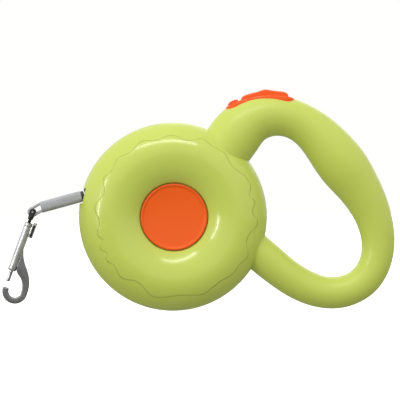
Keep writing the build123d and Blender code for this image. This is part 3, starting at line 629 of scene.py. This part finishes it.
STITCH_LENGTH, STITCH_GAP, STITCH_RADIUS = 1.05, 0.75, 0.15
STITCHES, STITCH_HEIGHT = 10, 1.15


def stitch(along, up, depth, out_up, out_depth):
    """One raised stitch along the sleeve, its ends sunk into the cloth."""
    rings = []
    for step in range(7):
        share = step / 6
        lift = STITCH_RADIUS * (1.4 * sin(pi * share) - 0.6)
        radius = STITCH_RADIUS * (0.45 + 0.55 * sin(pi * share))
        rings.append([
            pull_point(
                along + STITCH_LENGTH * (share - 0.5),
                up + out_up * (lift + radius * cos(angle)) - out_depth * radius * sin(angle),
                depth + out_depth * (lift + radius * cos(angle)) + out_up * radius * sin(angle),
            )
            for angle in (2 * pi * k / 8 for k in range(8))
        ])
    return loft(rings)


def build_stitching():
    """One row of stitches on the front and one on the back of the sleeve."""
    rows = []
    pitch = STITCH_LENGTH + STITCH_GAP
    for side in (1, -1):
        for step in range(STITCHES):
            along = (step - (STITCHES - 1) / 2) * pitch
            rows.append(stitch(along, STITCH_HEIGHT, side * (SLEEVE_WIDTH / 2 - 0.3), 0.25, side * 0.97))
    riding(piece("sleeve_stitching", joined(rows), THREAD), "leash_end", "sleeve_grey")


def build_tape_loop():
    """Loop of tape from inside the sleeve round the eye bar and back."""
    eye = EYE - SLEEVE_MIDDLE
    eye_along, eye_up = eye.dot(PULL) / MM, eye.dot(PULL_UP) / MM
    reach = LOOP_GAP + LOOP_THICKNESS / 2
    half = SLEEVE_LENGTH / 2
    path = [(half - 1.4, 1.75), (half + 0.2, 1.9), (half + 1.6, 1.75)]
    first, last = radians(100), radians(-100)
    for step in range(21):
        angle = first + (last - first) * step / 20
        path.append((eye_along + reach * cos(angle), eye_up + reach * sin(angle)))
    path += [(half + 1.6, -2.1), (half + 0.2, -1.95), (half - 1.4, -1.8)]
    path = curve_through(path, 3)
    loop = piece("eye_loop", strap(path, TAPE_WIDTH, LOOP_THICKNESS), TAPE_GREY)
    riding(loop, "leash_end", "tape_grey", "tape_loop")


# ---- swivel and snap ----------------------------------------------------------------------------
EYE_BAR_RADIUS, ARM_INNER, ARM_OUTER, ARM_RADIUS = 1.2, 5.4, 6.8, 1.6
BRIDGE_TOP, BRIDGE_BOTTOM = 3.0, 4.3
POST_RADIUS, POST_HEAD_RADIUS, POST_HEAD_TOP, POST_HEAD_END = 1.0, 1.45, 6.9, 8.0
BARREL_TOP, BARREL_END, BARREL_RADIUS = 6.0, 32.9, 2.2
BORE_RADIUS, CHAMBER_RADIUS = 1.06, 1.6
POST_ROOM = (6.84, 14.0)        # chamber for the post's head and the tab's stem
SPRING_ROOM = (15.2, 31.4)      # chamber for the bolt's spring and collar
COLLAR = (23.0, 24.4)           # of the bolt
BARREL_GROOVE = (7.7, 8.25)
SLOT_TOP, SLOT_END, SLOT_HALF_WIDTH = 8.0, 13.8, 1.05
BOLT_RADIUS, BOLT_START, BOLT_END, BOLT_NOSE = 1.0, 11.4, 38.9, 0.45
HOOK_MIDDLE_ACROSS, HOOK_MIDDLE_DOWN, HOOK_OUTER, HOOK_INNER = 5.4, 42.6, 6.6, 3.4
HOOK_THICKNESS = 3.2


def across_line(start, end, half_width, half_height, radius, axis_in, axis_up):
    """Rounded bar between two points of the row frame."""
    section = rounded_box(half_width, half_height, radius)
    rings = []
    for share, scale in ((0, 0.82), (0.03, 1), (0.97, 1), (1, 0.82)):
        centre = start.lerp(end, share)
        rings.append([centre + (axis_in * x * scale + axis_up * y * scale) * MM for x, y in section])
    return loft(rings)


def build_eye_pin():
    """Pin through the tape loop, with a riveted end in each arm of the fork."""
    pin_profile = [(0, -ARM_OUTER), (0.55, -ARM_OUTER), (0.65, -ARM_OUTER + 0.2),
                   (0.65, -ARM_INNER - 0.5), (EYE_BAR_RADIUS, -ARM_INNER - 0.4),
                   (EYE_BAR_RADIUS, ARM_INNER + 0.4), (0.65, ARM_INNER + 0.5),
                   (0.65, ARM_OUTER - 0.2), (0.55, ARM_OUTER), (0, ARM_OUTER)]
    pin = piece("eye_pin", revolved(pin_profile, EYE, FRONT, 32), BRIGHT_STEEL)
    riding(pin, "swivel", "bright_steel")


def build_fork():
    """Two round-topped arms beside the tape loop and the bridge that joins them."""
    fork = []
    for side in (1, -1):
        rings = []
        for inset, depth in ((0.25, ARM_INNER), (0, ARM_INNER + 0.25), (0, ARM_OUTER - 0.45),
                             (0.25, ARM_OUTER - 0.2)):
            outline = []
            for step in range(17):
                angle = pi * step / 16
                outline.append((cos(angle) * (ARM_RADIUS - inset), -sin(angle) * (ARM_RADIUS - inset)))
            foot, bottom = 1.2 - inset, BRIDGE_BOTTOM - inset
            outline += [(-foot, bottom - 0.2), (0.2 - foot, bottom), (foot - 0.2, bottom),
                        (foot, bottom - 0.2)]
            rings.append([snap_point(x, y, side * depth) for x, y in outline])
        fork.append(loft(rings))
    fork.append(across_line(
        snap_point(0, (BRIDGE_TOP + BRIDGE_BOTTOM) / 2, ARM_INNER + 0.6),
        snap_point(0, (BRIDGE_TOP + BRIDGE_BOTTOM) / 2, -ARM_INNER - 0.6),
        1.15, (BRIDGE_BOTTOM - BRIDGE_TOP) / 2, 0.25, SNAP_ACROSS, SNAP_DOWN,
    ))
    # painted reflection: the chrome fork takes the dark metal colour in place of the dark surroundings it
    # reflects
    riding(piece("eye_fork", joined(fork), DARK_METAL), "swivel", "hook_metal", "swivel_eye")


def build_post():
    """Threaded post that turns in the barrel, held by its head."""
    post = [(0, BRIDGE_BOTTOM - 0.4), (POST_RADIUS, BRIDGE_BOTTOM - 0.4)]
    for turn in range(3):
        down = BRIDGE_BOTTOM + 0.1 + turn * 0.5
        post += [(POST_RADIUS, down), (POST_RADIUS - 0.2, down + 0.12),
                 (POST_RADIUS - 0.2, down + 0.25), (POST_RADIUS, down + 0.37)]
    post += [(POST_RADIUS, POST_HEAD_TOP), (POST_HEAD_RADIUS, POST_HEAD_TOP + 0.05),
             (POST_HEAD_RADIUS, POST_HEAD_END - 0.2), (POST_RADIUS, POST_HEAD_END), (0, POST_HEAD_END)]
    # painted shade: the post takes the dark metal colour for the shade it lies in below the fork
    riding(piece("swivel_post", revolved(post, EYE, SNAP_DOWN, 40), DARK_METAL), "swivel", "bright_steel")


def cut(target, cutter):
    """Take one piece out of another and remove it."""
    change = target.modifiers.new("cut", "BOOLEAN")
    change.object, change.operation, change.solver = cutter, "DIFFERENCE", "EXACT"
    evaluated = target.evaluated_get(bpy.context.evaluated_depsgraph_get())
    target.data = bpy.data.meshes.new_from_object(evaluated)
    target.modifiers.clear()
    bpy.data.objects.remove(cutter)


def build_barrel():
    """Hollow barrel with a collar, a bore for post and bolt and a slot for the tab's stem."""
    outside = [(BORE_RADIUS + 0.2, BARREL_TOP), (BARREL_RADIUS - 0.35, BARREL_TOP),
               (BARREL_RADIUS, BARREL_TOP + 0.35), (BARREL_RADIUS, BARREL_GROOVE[0]),
               (BARREL_RADIUS - 0.2, BARREL_GROOVE[0] + 0.15),
               (BARREL_RADIUS - 0.2, BARREL_GROOVE[1] - 0.15), (BARREL_RADIUS, BARREL_GROOVE[1])]
    outside += [(BARREL_RADIUS, BARREL_GROOVE[1] + step * 3.4) for step in range(1, 8)]
    outside += [(BARREL_RADIUS - 0.12, BARREL_END - 0.35), (BARREL_RADIUS - 0.4, BARREL_END),
                (BORE_RADIUS + 0.2, BARREL_END)]
    inside = [(BORE_RADIUS, BARREL_END - 0.2)]
    for room_top, room_end in (SPRING_ROOM, POST_ROOM):
        inside += [(BORE_RADIUS, room_end), (CHAMBER_RADIUS, room_end),
                   (CHAMBER_RADIUS, room_top), (BORE_RADIUS, room_top)]
    inside.append((BORE_RADIUS, BARREL_TOP + 0.2))
    barrel = piece("snap_barrel", revolved(outside + inside, EYE, SNAP_DOWN, 64, wrap=True), BARREL_METAL)
    middle_down, half_length = (SLOT_TOP + SLOT_END) / 2, (SLOT_END - SLOT_TOP) / 2
    rings = [[
        snap_point(across, middle_down + y, x)
        for x, y in rounded_box(SLOT_HALF_WIDTH, half_length, 0.4)
    ] for across in (0.3, 4.0)]
    cut(barrel, piece("slot_cutter", loft(rings), BARREL_METAL))
    return barrel


def hook_stations():
    """Facing points on the inner and the outer edge of the hook, from the barrel to the tip."""
    neck = curve_through([
        (1.65, 21.0, 2.3, 20.8), (1.7, 24.0, 3.4, 23.8), (1.75, 27.4, 5.3, 27.0), (1.9, 30.8, 8.0, 30.4),
        (3.4, 33.2, 9.9, 33.3), (6.2, 35.4, 11.2, 36.4), (8.1, 38.6, 11.8, 39.4), (8.8, 42.6, 12.0, 42.6),
    ], 5)
    bowl = []
    for step in range(1, 25):
        angle = pi * step / 24
        bowl.append((
            HOOK_MIDDLE_ACROSS + HOOK_INNER * cos(angle), HOOK_MIDDLE_DOWN + HOOK_INNER * sin(angle),
            HOOK_MIDDLE_ACROSS + HOOK_OUTER * cos(angle), HOOK_MIDDLE_DOWN + HOOK_OUTER * sin(angle),
        ))
    return neck + bowl


def build_hook():
    """Neck along the barrel and round bowl, thinned at the tip."""
    rings = []
    stations = hook_stations()
    half = HOOK_THICKNESS / 2
    tip = [(inner_x, inner_y - 0.4 * drop, outer_x, outer_y - 0.4 * drop)
           for drop, (inner_x, inner_y, outer_x, outer_y) in ((0.6, stations[-1]), (1.0, stations[-1]))]
    for i, (inner_x, inner_y, outer_x, outer_y) in enumerate(stations + tip):
        shrink = (1.0, 0.92, 0.72)[max(0, i - len(stations) + 1)]
        middle_x, middle_y = (inner_x + outer_x) / 2, (inner_y + outer_y) / 2
        width = hypot(outer_x - inner_x, outer_y - inner_y)
        unit_x, unit_y = (outer_x - inner_x) / width, (outer_y - inner_y) / width
        swell = min(1.0, 0.6 + 0.06 * i)
        rings.append([
            snap_point(middle_x + unit_x * x * shrink, middle_y + unit_y * x * shrink,
                       y * shrink * swell)
            for x, y in rounded_box(width / 2, half, min(0.7, 0.4 * width))
        ])
    return piece("snap_hook", loft(rings), HOOK_METAL, sharp=50)


def build_snap():
    """Barrel, hook and the bolt that closes the hook's mouth."""
    barrel = build_barrel()
    riding(barrel, "snap", "hook_metal", "snap_body")
    riding(build_hook(), "snap", "hook_metal")
    collar_radius = CHAMBER_RADIUS - 0.1
    bolt = [(0, BOLT_START), (BOLT_RADIUS, BOLT_START), (BOLT_RADIUS, COLLAR[0]),
            (collar_radius, COLLAR[0]), (collar_radius, COLLAR[1]), (BOLT_RADIUS, COLLAR[1]),
            (BOLT_RADIUS, BOLT_END - BOLT_NOSE)]
    for step in range(1, 6):
        turn = pi / 2 * step / 5
        bolt.append((BOLT_RADIUS - BOLT_NOSE * (1 - cos(turn)), BOLT_END - BOLT_NOSE * (1 - sin(turn))))
    bolt.append((0, BOLT_END))
    pin = piece("bolt_pin", revolved(bolt, EYE, SNAP_DOWN, 40), BRIGHT_STEEL)
    riding(pin, "bolt", "hook_metal", "snap_bolt")


TAB_INNER, TAB_OUTER, TAB_TOP, TAB_END, TAB_HALF_WIDTH = 2.35, 4.4, 5.0, 13.4, 1.5
TAB_RIBS, TAB_PLATE = 11, 0.5
STOP_BLOCK = 1.5                # smooth block above the ribs
STEM_DOWN = 12.4


def build_thumb_tab():
    """Knurled pad on a bright carrier plate, with the stem that enters the barrel."""
    plate_back = TAB_INNER + TAB_PLATE
    carrier = [across_line(
        snap_point((TAB_INNER + plate_back) / 2, TAB_TOP, 0),
        snap_point((TAB_INNER + plate_back) / 2, TAB_END, 0),
        TAB_HALF_WIDTH, (plate_back - TAB_INNER) / 2, 0.2, FRONT, SNAP_ACROSS,
    ), across_line(
        snap_point(BOLT_RADIUS - 0.4, STEM_DOWN, 0), snap_point(TAB_INNER + 0.2, STEM_DOWN, 0),
        0.75, 1.0, 0.2, FRONT, SNAP_DOWN,
    ), across_line(
        snap_point((TAB_INNER + TAB_OUTER) / 2, TAB_TOP, 0),
        snap_point((TAB_INNER + TAB_OUTER) / 2, TAB_TOP + STOP_BLOCK, 0),
        TAB_HALF_WIDTH, (TAB_OUTER - TAB_INNER) / 2, 0.5, FRONT, SNAP_ACROSS,
    )]
    riding(piece("tab_carrier", joined(carrier), BARREL_METAL), "bolt", "hook_metal", "thumb_tab")
    rings = []
    pad_top = TAB_TOP + STOP_BLOCK
    pitch = (TAB_END - pad_top) / TAB_RIBS
    for rib in range(TAB_RIBS):
        for share, height in ((0.02, 0.55), (0.25, 1.0), (0.7, 1.0), (0.95, 0.55)):
            down = pad_top + (rib + share) * pitch
            top = plate_back + (TAB_OUTER - plate_back) * height
            half_width = TAB_HALF_WIDTH * (0.86 + 0.14 * height)
            rings.append([
                snap_point((plate_back + top) / 2 + y * (top - plate_back), down, x)
                for x, y in rounded_box(half_width, 0.5, 0.18)
            ])
    riding(piece("tab_pad", loft(rings), DARK_METAL, sharp=30), "bolt", "hook_metal")


# ---- thumb controls -----------------------------------------------------------------------------
SEAT_LINE = [(29.3, 58.6), (34.5, 60.5), (40.5, 62.3), (46.8, 63.5), (53.6, 63.8), (63.3, 62.9)]
BEZEL_START, BEZEL_END, BEZEL_HALF_WIDTH = 29.3, 63.3, 6.6
BEZEL_ROUNDING, RIDGE_ROUNDING = 5.4, 3.0
BEZEL_LIFT, SIDE_LAP, END_LAP = 0.8, 0.4, 1.4
BEZEL_FADE = 5.0                # length over which the rim sinks into the handle at each end
OPENING_START, OPENING_END, OPENING_HALF_WIDTH = 30.6, 62.1, 5.3
BUTTON_HALF_WIDTH, BUTTON_CORNER = 4.9, 1.2
BUTTON_TOP = [(36.1, 63.4), (37.4, 64.4), (40.5, 65.6), (44.5, 66.6), (48.8, 67.9), (52.2, 67.4),
              (57.0, 66.9), (59.8, 66.3), (61.4, 65.1)]


def height_on(line, x):
    """Height at x on a line of (x, z) points, taken as a smooth curve."""
    smooth = curve_through(line, 10)
    for (x0, z0), (x1, z1) in zip(smooth, smooth[1:]):
        if x <= x1:
            return z0 + (z1 - z0) * (x - x0) / (x1 - x0)
    return smooth[-1][1]


def handle_surface():
    """Function that gives the top of the casing's handle at (x, depth), from the reel centre."""
    trees = []
    for node in ("front_shell", "back_shell"):
        mesh = frame["nodes"][node].data
        trees.append(BVHTree.FromPolygons([v.co for v in mesh.vertices],
                                          [f.vertices for f in mesh.polygons]))

    def top(x, depth):
        start = casing_point(x, 90, depth)
        hits = [tree.ray_cast(start, Vector((0, 0, -1)))[0] for tree in trees]
        heights = [(hit.z - REEL.z) / MM for hit in hits if hit is not None]
        return max(heights, default=0)

    return top


def plan_loop(start, end, half_width, radius, steps=8):
    """Rounded rectangle in plan, as (x, depth), with long sides divided for bending."""
    corners = [(end - radius, half_width - radius, 0), (start + radius, half_width - radius, 1),
               (start + radius, -half_width + radius, 2), (end - radius, -half_width + radius, 3)]
    loop = []
    for i, (x, depth, quarter) in enumerate(corners):
        for step in range(steps + 1):
            angle = pi / 2 * (quarter + step / steps)
            loop.append((x + radius * cos(angle), depth + radius * sin(angle)))
        after = corners[(i + 1) % 4]
        here = loop[-1]
        turn = pi / 2 * (quarter + 1)
        there = (after[0] + radius * cos(turn), after[1] + radius * sin(turn))
        parts = 40 if abs(there[0] - here[0]) > 5 else 10
        loop += [(here[0] + (there[0] - here[0]) * k / parts, here[1] + (there[1] - here[1]) * k / parts)
                 for k in range(1, parts)]
    return loop


def build_bezel():
    """Frame of the thumb controls, whose rim laps over the edge of its seat."""
    top = handle_surface()
    outer = plan_loop(BEZEL_START - END_LAP, BEZEL_END + END_LAP, BEZEL_HALF_WIDTH + SIDE_LAP,
                      BEZEL_ROUNDING)
    ridge = plan_loop(BEZEL_START + 0.3, BEZEL_END - 0.3, BEZEL_HALF_WIDTH - 0.5, RIDGE_ROUNDING)
    inner = plan_loop(OPENING_START, OPENING_END, OPENING_HALF_WIDTH, 1.2)
    rings = []
    for (ox, od), (rx, rd), (ix, idepth) in zip(outer, ridge, inner):
        seat = height_on(SEAT_LINE, min(max(rx, BEZEL_START + 0.1), BEZEL_END - 0.1))
        lap = top(ox, od)
        to_end = min(rx - BEZEL_START, BEZEL_END - rx) / BEZEL_FADE
        fade = 1.0 if to_end > 1 else 0.25 + 0.75 * sin(pi / 2 * to_end)
        crest = seat + BEZEL_LIFT * fade
        rings.append([
            casing_point(ox, lap - 0.35, od),
            casing_point(ox, lap + 0.1, od),
            casing_point(ox + (rx - ox) * 0.3, lap + (crest - lap) * 0.72, od + (rd - od) * 0.3),
            casing_point(ox + (rx - ox) * 0.65, lap + (crest - lap) * 0.95, od + (rd - od) * 0.65),
            casing_point(rx, crest, rd),
            casing_point(rx + (ix - rx) * 0.7, crest - 0.02, rd + (idepth - rd) * 0.7),
            casing_point(ix, crest - 0.2, idepth),
            casing_point(ix, seat - 3.6, idepth),
            casing_point(rx, seat - 3.6, rd),
            casing_point(rx, seat - 2.9, rd),
        ])
    bezel = piece("control_surround", loft(rings, wrap=True), CONTROL_ORANGE, sharp=50)
    riding(bezel, "casing", "control_orange", "control_bezel")


def crowned_section(half_width, base, top, crown=0.35, roll=1.0):
    """(depth, height) round a crowned pad, from one foot over the top to the other."""
    section = [(half_width, base)]
    for step in range(7):
        turn = pi / 2 * step / 6
        section.append((half_width - roll + roll * cos(turn), top - roll + roll * sin(turn)))
    for step in range(1, 6):
        depth = (half_width - roll) * (1 - step / 6)
        section.append((depth, top + crown * (1 - (depth / (half_width - roll)) ** 2)))
    section.append((0, top + crown))
    return section + [(-depth, height) for depth, height in reversed(section[:-1])]


def build_button():
    """Brake button: a long thumb pad with a hump, its sides rolled over."""
    rings = []
    steps = 56
    start, end = BUTTON_TOP[0][0], BUTTON_TOP[-1][0]
    for step in range(steps + 1):
        share = step / steps
        x = start + (end - start) * share
        into_corner = max(0.0, BUTTON_CORNER - min(x - start, end - x))
        narrow = BUTTON_CORNER - sqrt(BUTTON_CORNER**2 - into_corner**2)
        top = height_on(BUTTON_TOP, x) - 0.35 - narrow * 0.6
        base = height_on(SEAT_LINE, x) - 1.6
        rings.append([
            casing_point(x, height, depth)
            for depth, height in crowned_section(BUTTON_HALF_WIDTH - narrow, base, top)
        ])
    button = piece("thumb_brake", loft(rings), CONTROL_ORANGE, sharp=55)
    riding(button, "button", "control_orange", "brake_button")


LOCK_PLACE = (34.5, 60.5)
LOCK_BASE = 0.5                 # clears the head of the brake pawl under it
LOCK_TOP = [(-5.0, 1.35), (-4.4, 1.85), (-2.4, 2.2), (-0.6, 2.2), (0.1, 1.9)]


def build_lock():
    """Lock slider: a small pad with three ribs across it."""
    origin = casing_point(*LOCK_PLACE)
    rings = []
    steps = 30
    for step in range(steps + 1):
        along = LOCK_TOP[0][0] + (LOCK_TOP[-1][0] - LOCK_TOP[0][0]) * step / steps
        rib = 0.16 * max(0.0, cos(2 * pi * (along + 2.6) / 1.1)) if -4.0 < along < -1.0 else 0.0
        top = height_on(LOCK_TOP, along) - 0.2 + rib
        rings.append([
            origin + (LOCK_ALONG * along + LOCK_UP * height + FRONT * depth) * MM
            for depth, height in crowned_section(BUTTON_HALF_WIDTH - 0.05, LOCK_BASE, top, 0.15, 0.4)
        ])
    slider = piece("lock_pad", loft(rings), CONTROL_ORANGE, sharp=55)
    riding(slider, "lock", "control_orange", "lock_slider")


# ---- springs inside ------------------------------------------------------------------------------
COIL_STEPS = 24                 # rings in each turn of a spring's wire
SPRINGS = (
    # node, body, joint along whose axis it lies, turns, coil radius, wire radius
    ("bolt_spring", "snap", "bolt_slide", 7, 1.27, 0.18),
    ("brake_spring", "casing", "pawl_slide", 5, 2.55, 0.3),
)


def coil(start, axis, length, turns, radius, wire):
    """Spring wire wound round a line that begins at start, with that length over its ends."""
    side = axis.orthogonal().normalized()
    other = axis.cross(side)
    rings = []
    last = turns * COIL_STEPS
    for step in range(last + 1):
        angle = 2 * pi * step / COIL_STEPS
        out = side * cos(angle) + other * sin(angle)
        centre = start + (out * radius + axis * (wire + (length - 2 * wire) * step / last)) * MM
        rings.append([
            centre + (out * cos(turn) + axis * sin(turn)) * (wire * MM)
            for turn in (2 * pi * k / 10 for k in range(10))
        ])
    return loft(rings)


def build_springs():
    """Each spring is wound along its joint's axis between the ends of its CAD node."""
    for node, body, slide, turns, radius, wire in SPRINGS:
        moves = joint(slide)
        axis = Vector(moves["axis"]).normalized()
        points = [vertex.co for vertex in frame["nodes"][node].data.vertices]
        centre = sum(points, Vector()) / len(points)
        reaches = [(point - centre).dot(axis) for point in points]
        near, far = centre + axis * min(reaches), centre + axis * max(reaches)
        length = (far - near).length / MM
        spring = piece(f"{node}_coil", coil(near, axis, length, turns, radius, wire), SPRING_STEEL)
        riding(spring, body, "spring_steel", node)
        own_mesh(spring)


# ---- camera, floor and light --------------------------------------------------------------------
VIEW_WIDTH = 0.2128             # width of the picture at the object
VIEW_CENTRE = Vector((-0.0737, 0, -0.0211))
VIEW_AZIMUTH = radians(-3.5)
LENS, SENSOR = 150, 36


def build_camera():
    """Long lens level with the object, turned a few degrees to the left of square on."""
    camera = bpy.data.objects.new("camera", bpy.data.cameras.new("camera"))
    bpy.context.scene.collection.objects.link(camera)
    camera.data.lens, camera.data.sensor_width = LENS, SENSOR
    distance = VIEW_WIDTH * LENS / SENSOR
    back = Vector((sin(VIEW_AZIMUTH), -cos(VIEW_AZIMUTH), 0))
    camera.location = VIEW_CENTRE + back * distance
    camera.rotation_euler = (-back).to_track_quat("-Z", "Y").to_euler()
    bpy.context.scene.camera = camera


FLOOR_RADIUS = 6000
FLOOR_SEEN = 1.25               # glow that the camera sees
FLOOR_BOUNCE = 0.13             # glow that lights the object from below


def build_floor():
    """Pale floor under the object; it sends little light back up to it."""
    floor = piece("floor", revolved([(0, 0), (FLOOR_RADIUS, 0)], Vector((REEL.x, 0, cad_low.z)),
                                    Vector((0, 0, 1)), 96), floor_material())


def floor_material():
    """Pale paper that glows to the camera and a little to the object."""
    n = Nodes("floor")
    ray = n.add("ShaderNodeLightPath")
    paper = n.noise(n.place(), 4, 2)
    tint = n.blend(n.math("MULTIPLY", paper, 0.02), (0.92, 0.92, 0.915, 1), (0.86, 0.86, 0.86, 1))
    bounce = n.blend(ray.outputs["Is Diffuse Ray"], tint, (0.74, 0.75, 0.68, 1))
    n.surface(bounce, 0.9, Specular_IOR_Level=0.0)
    n.connect(tint, n.shader.inputs["Emission Color"])
    seen = n.math("MULTIPLY", ray.outputs["Is Camera Ray"], FLOOR_SEEN)
    lit_below = n.math("MULTIPLY", ray.outputs["Is Diffuse Ray"], FLOOR_BOUNCE)
    n.connect(n.math("ADD", seen, lit_below), n.shader.inputs["Emission Strength"])
    return n.material


WORLD_STRENGTH = 1.02
# axis of the view direction, where the gain begins and ends on it, and the gain
WORLD_GAINS = (("Z", -0.1, 1.0, 0.12), ("Y", 0.2, 1.0, 0.1), ("X", -0.2, -1.0, 0.1))


def build_world():
    """White studio, brighter from above, from behind the object and from its left."""
    world = bpy.data.worlds.new("studio")
    bpy.context.scene.world = world
    world.use_nodes = True
    tree = world.node_tree
    output, backdrop = tree.nodes["World Output"], tree.nodes["Background"]
    backdrop.inputs["Color"].default_value = (1, 1, 0.99, 1)
    backdrop.inputs["Strength"].default_value = 1.0
    direction = tree.nodes.new("ShaderNodeTexCoord").outputs["Generated"]
    parts = tree.nodes.new("ShaderNodeSeparateXYZ")
    tree.links.new(direction, parts.inputs[0])
    terms = []
    for axis, low, high, gain in WORLD_GAINS:
        term = tree.nodes.new("ShaderNodeMapRange")
        tree.links.new(parts.outputs[axis], term.inputs["Value"])
        for name, value in (("From Min", low), ("From Max", high), ("To Min", 0), ("To Max", gain)):
            term.inputs[name].default_value = value
        terms.append(term.outputs[0])
    total = None
    for term in terms:
        add = tree.nodes.new("ShaderNodeMath")
        add.operation = "ADD"
        tree.links.new(term, add.inputs[0])
        if total is None:
            add.inputs[1].default_value = WORLD_STRENGTH
        else:
            tree.links.new(total, add.inputs[1])
        total = add.outputs[0]
    studio = tree.nodes.new("ShaderNodeBackground")
    tree.links.new(total, studio.inputs["Strength"])
    mix = tree.nodes.new("ShaderNodeMixShader")
    ray = tree.nodes.new("ShaderNodeLightPath")
    tree.links.new(ray.outputs["Is Camera Ray"], mix.inputs[0])
    tree.links.new(studio.outputs[0], mix.inputs[1])
    tree.links.new(backdrop.outputs[0], mix.inputs[2])
    tree.links.new(mix.outputs[0], output.inputs["Surface"])


def softbox(name, direction, distance, width, height, power):
    """Rectangular light that faces the object."""
    light = bpy.data.lights.new(name, "AREA")
    light.shape, light.size, light.size_y, light.energy = "RECTANGLE", width, height, power
    lamp = bpy.data.objects.new(name, light)
    bpy.context.scene.collection.objects.link(lamp)
    lamp.location = VIEW_CENTRE + Vector(direction).normalized() * distance
    lamp.rotation_euler = (VIEW_CENTRE - lamp.location).to_track_quat("-Z", "Y").to_euler()


def build_lights():
    """Softbox over the camera, strip at the left and a fill from behind."""
    softbox("top_softbox", (-0.1, -0.62, 0.78), 1.1, 0.8, 0.16, 2.9)
    softbox("left_strip", (-0.75, -0.65, 0.1), 1.1, 0.08, 0.7, 2.6)
    softbox("rear_fill", (0.3, 0.9, 0.5), 1.4, 0.9, 0.9, 1.5)
    bpy.context.scene.view_settings.view_transform = "Standard"


build_camera()
build_world()
build_lights()
build_floor()
dress_cad_nodes()
build_ring_covers()
build_centre_caps()
build_tape()
build_sleeve()
build_stitching()
build_tape_loop()
build_eye_pin()
build_fork()
build_post()
build_snap()
build_thumb_tab()
build_bezel()
build_button()
build_lock()
build_springs()
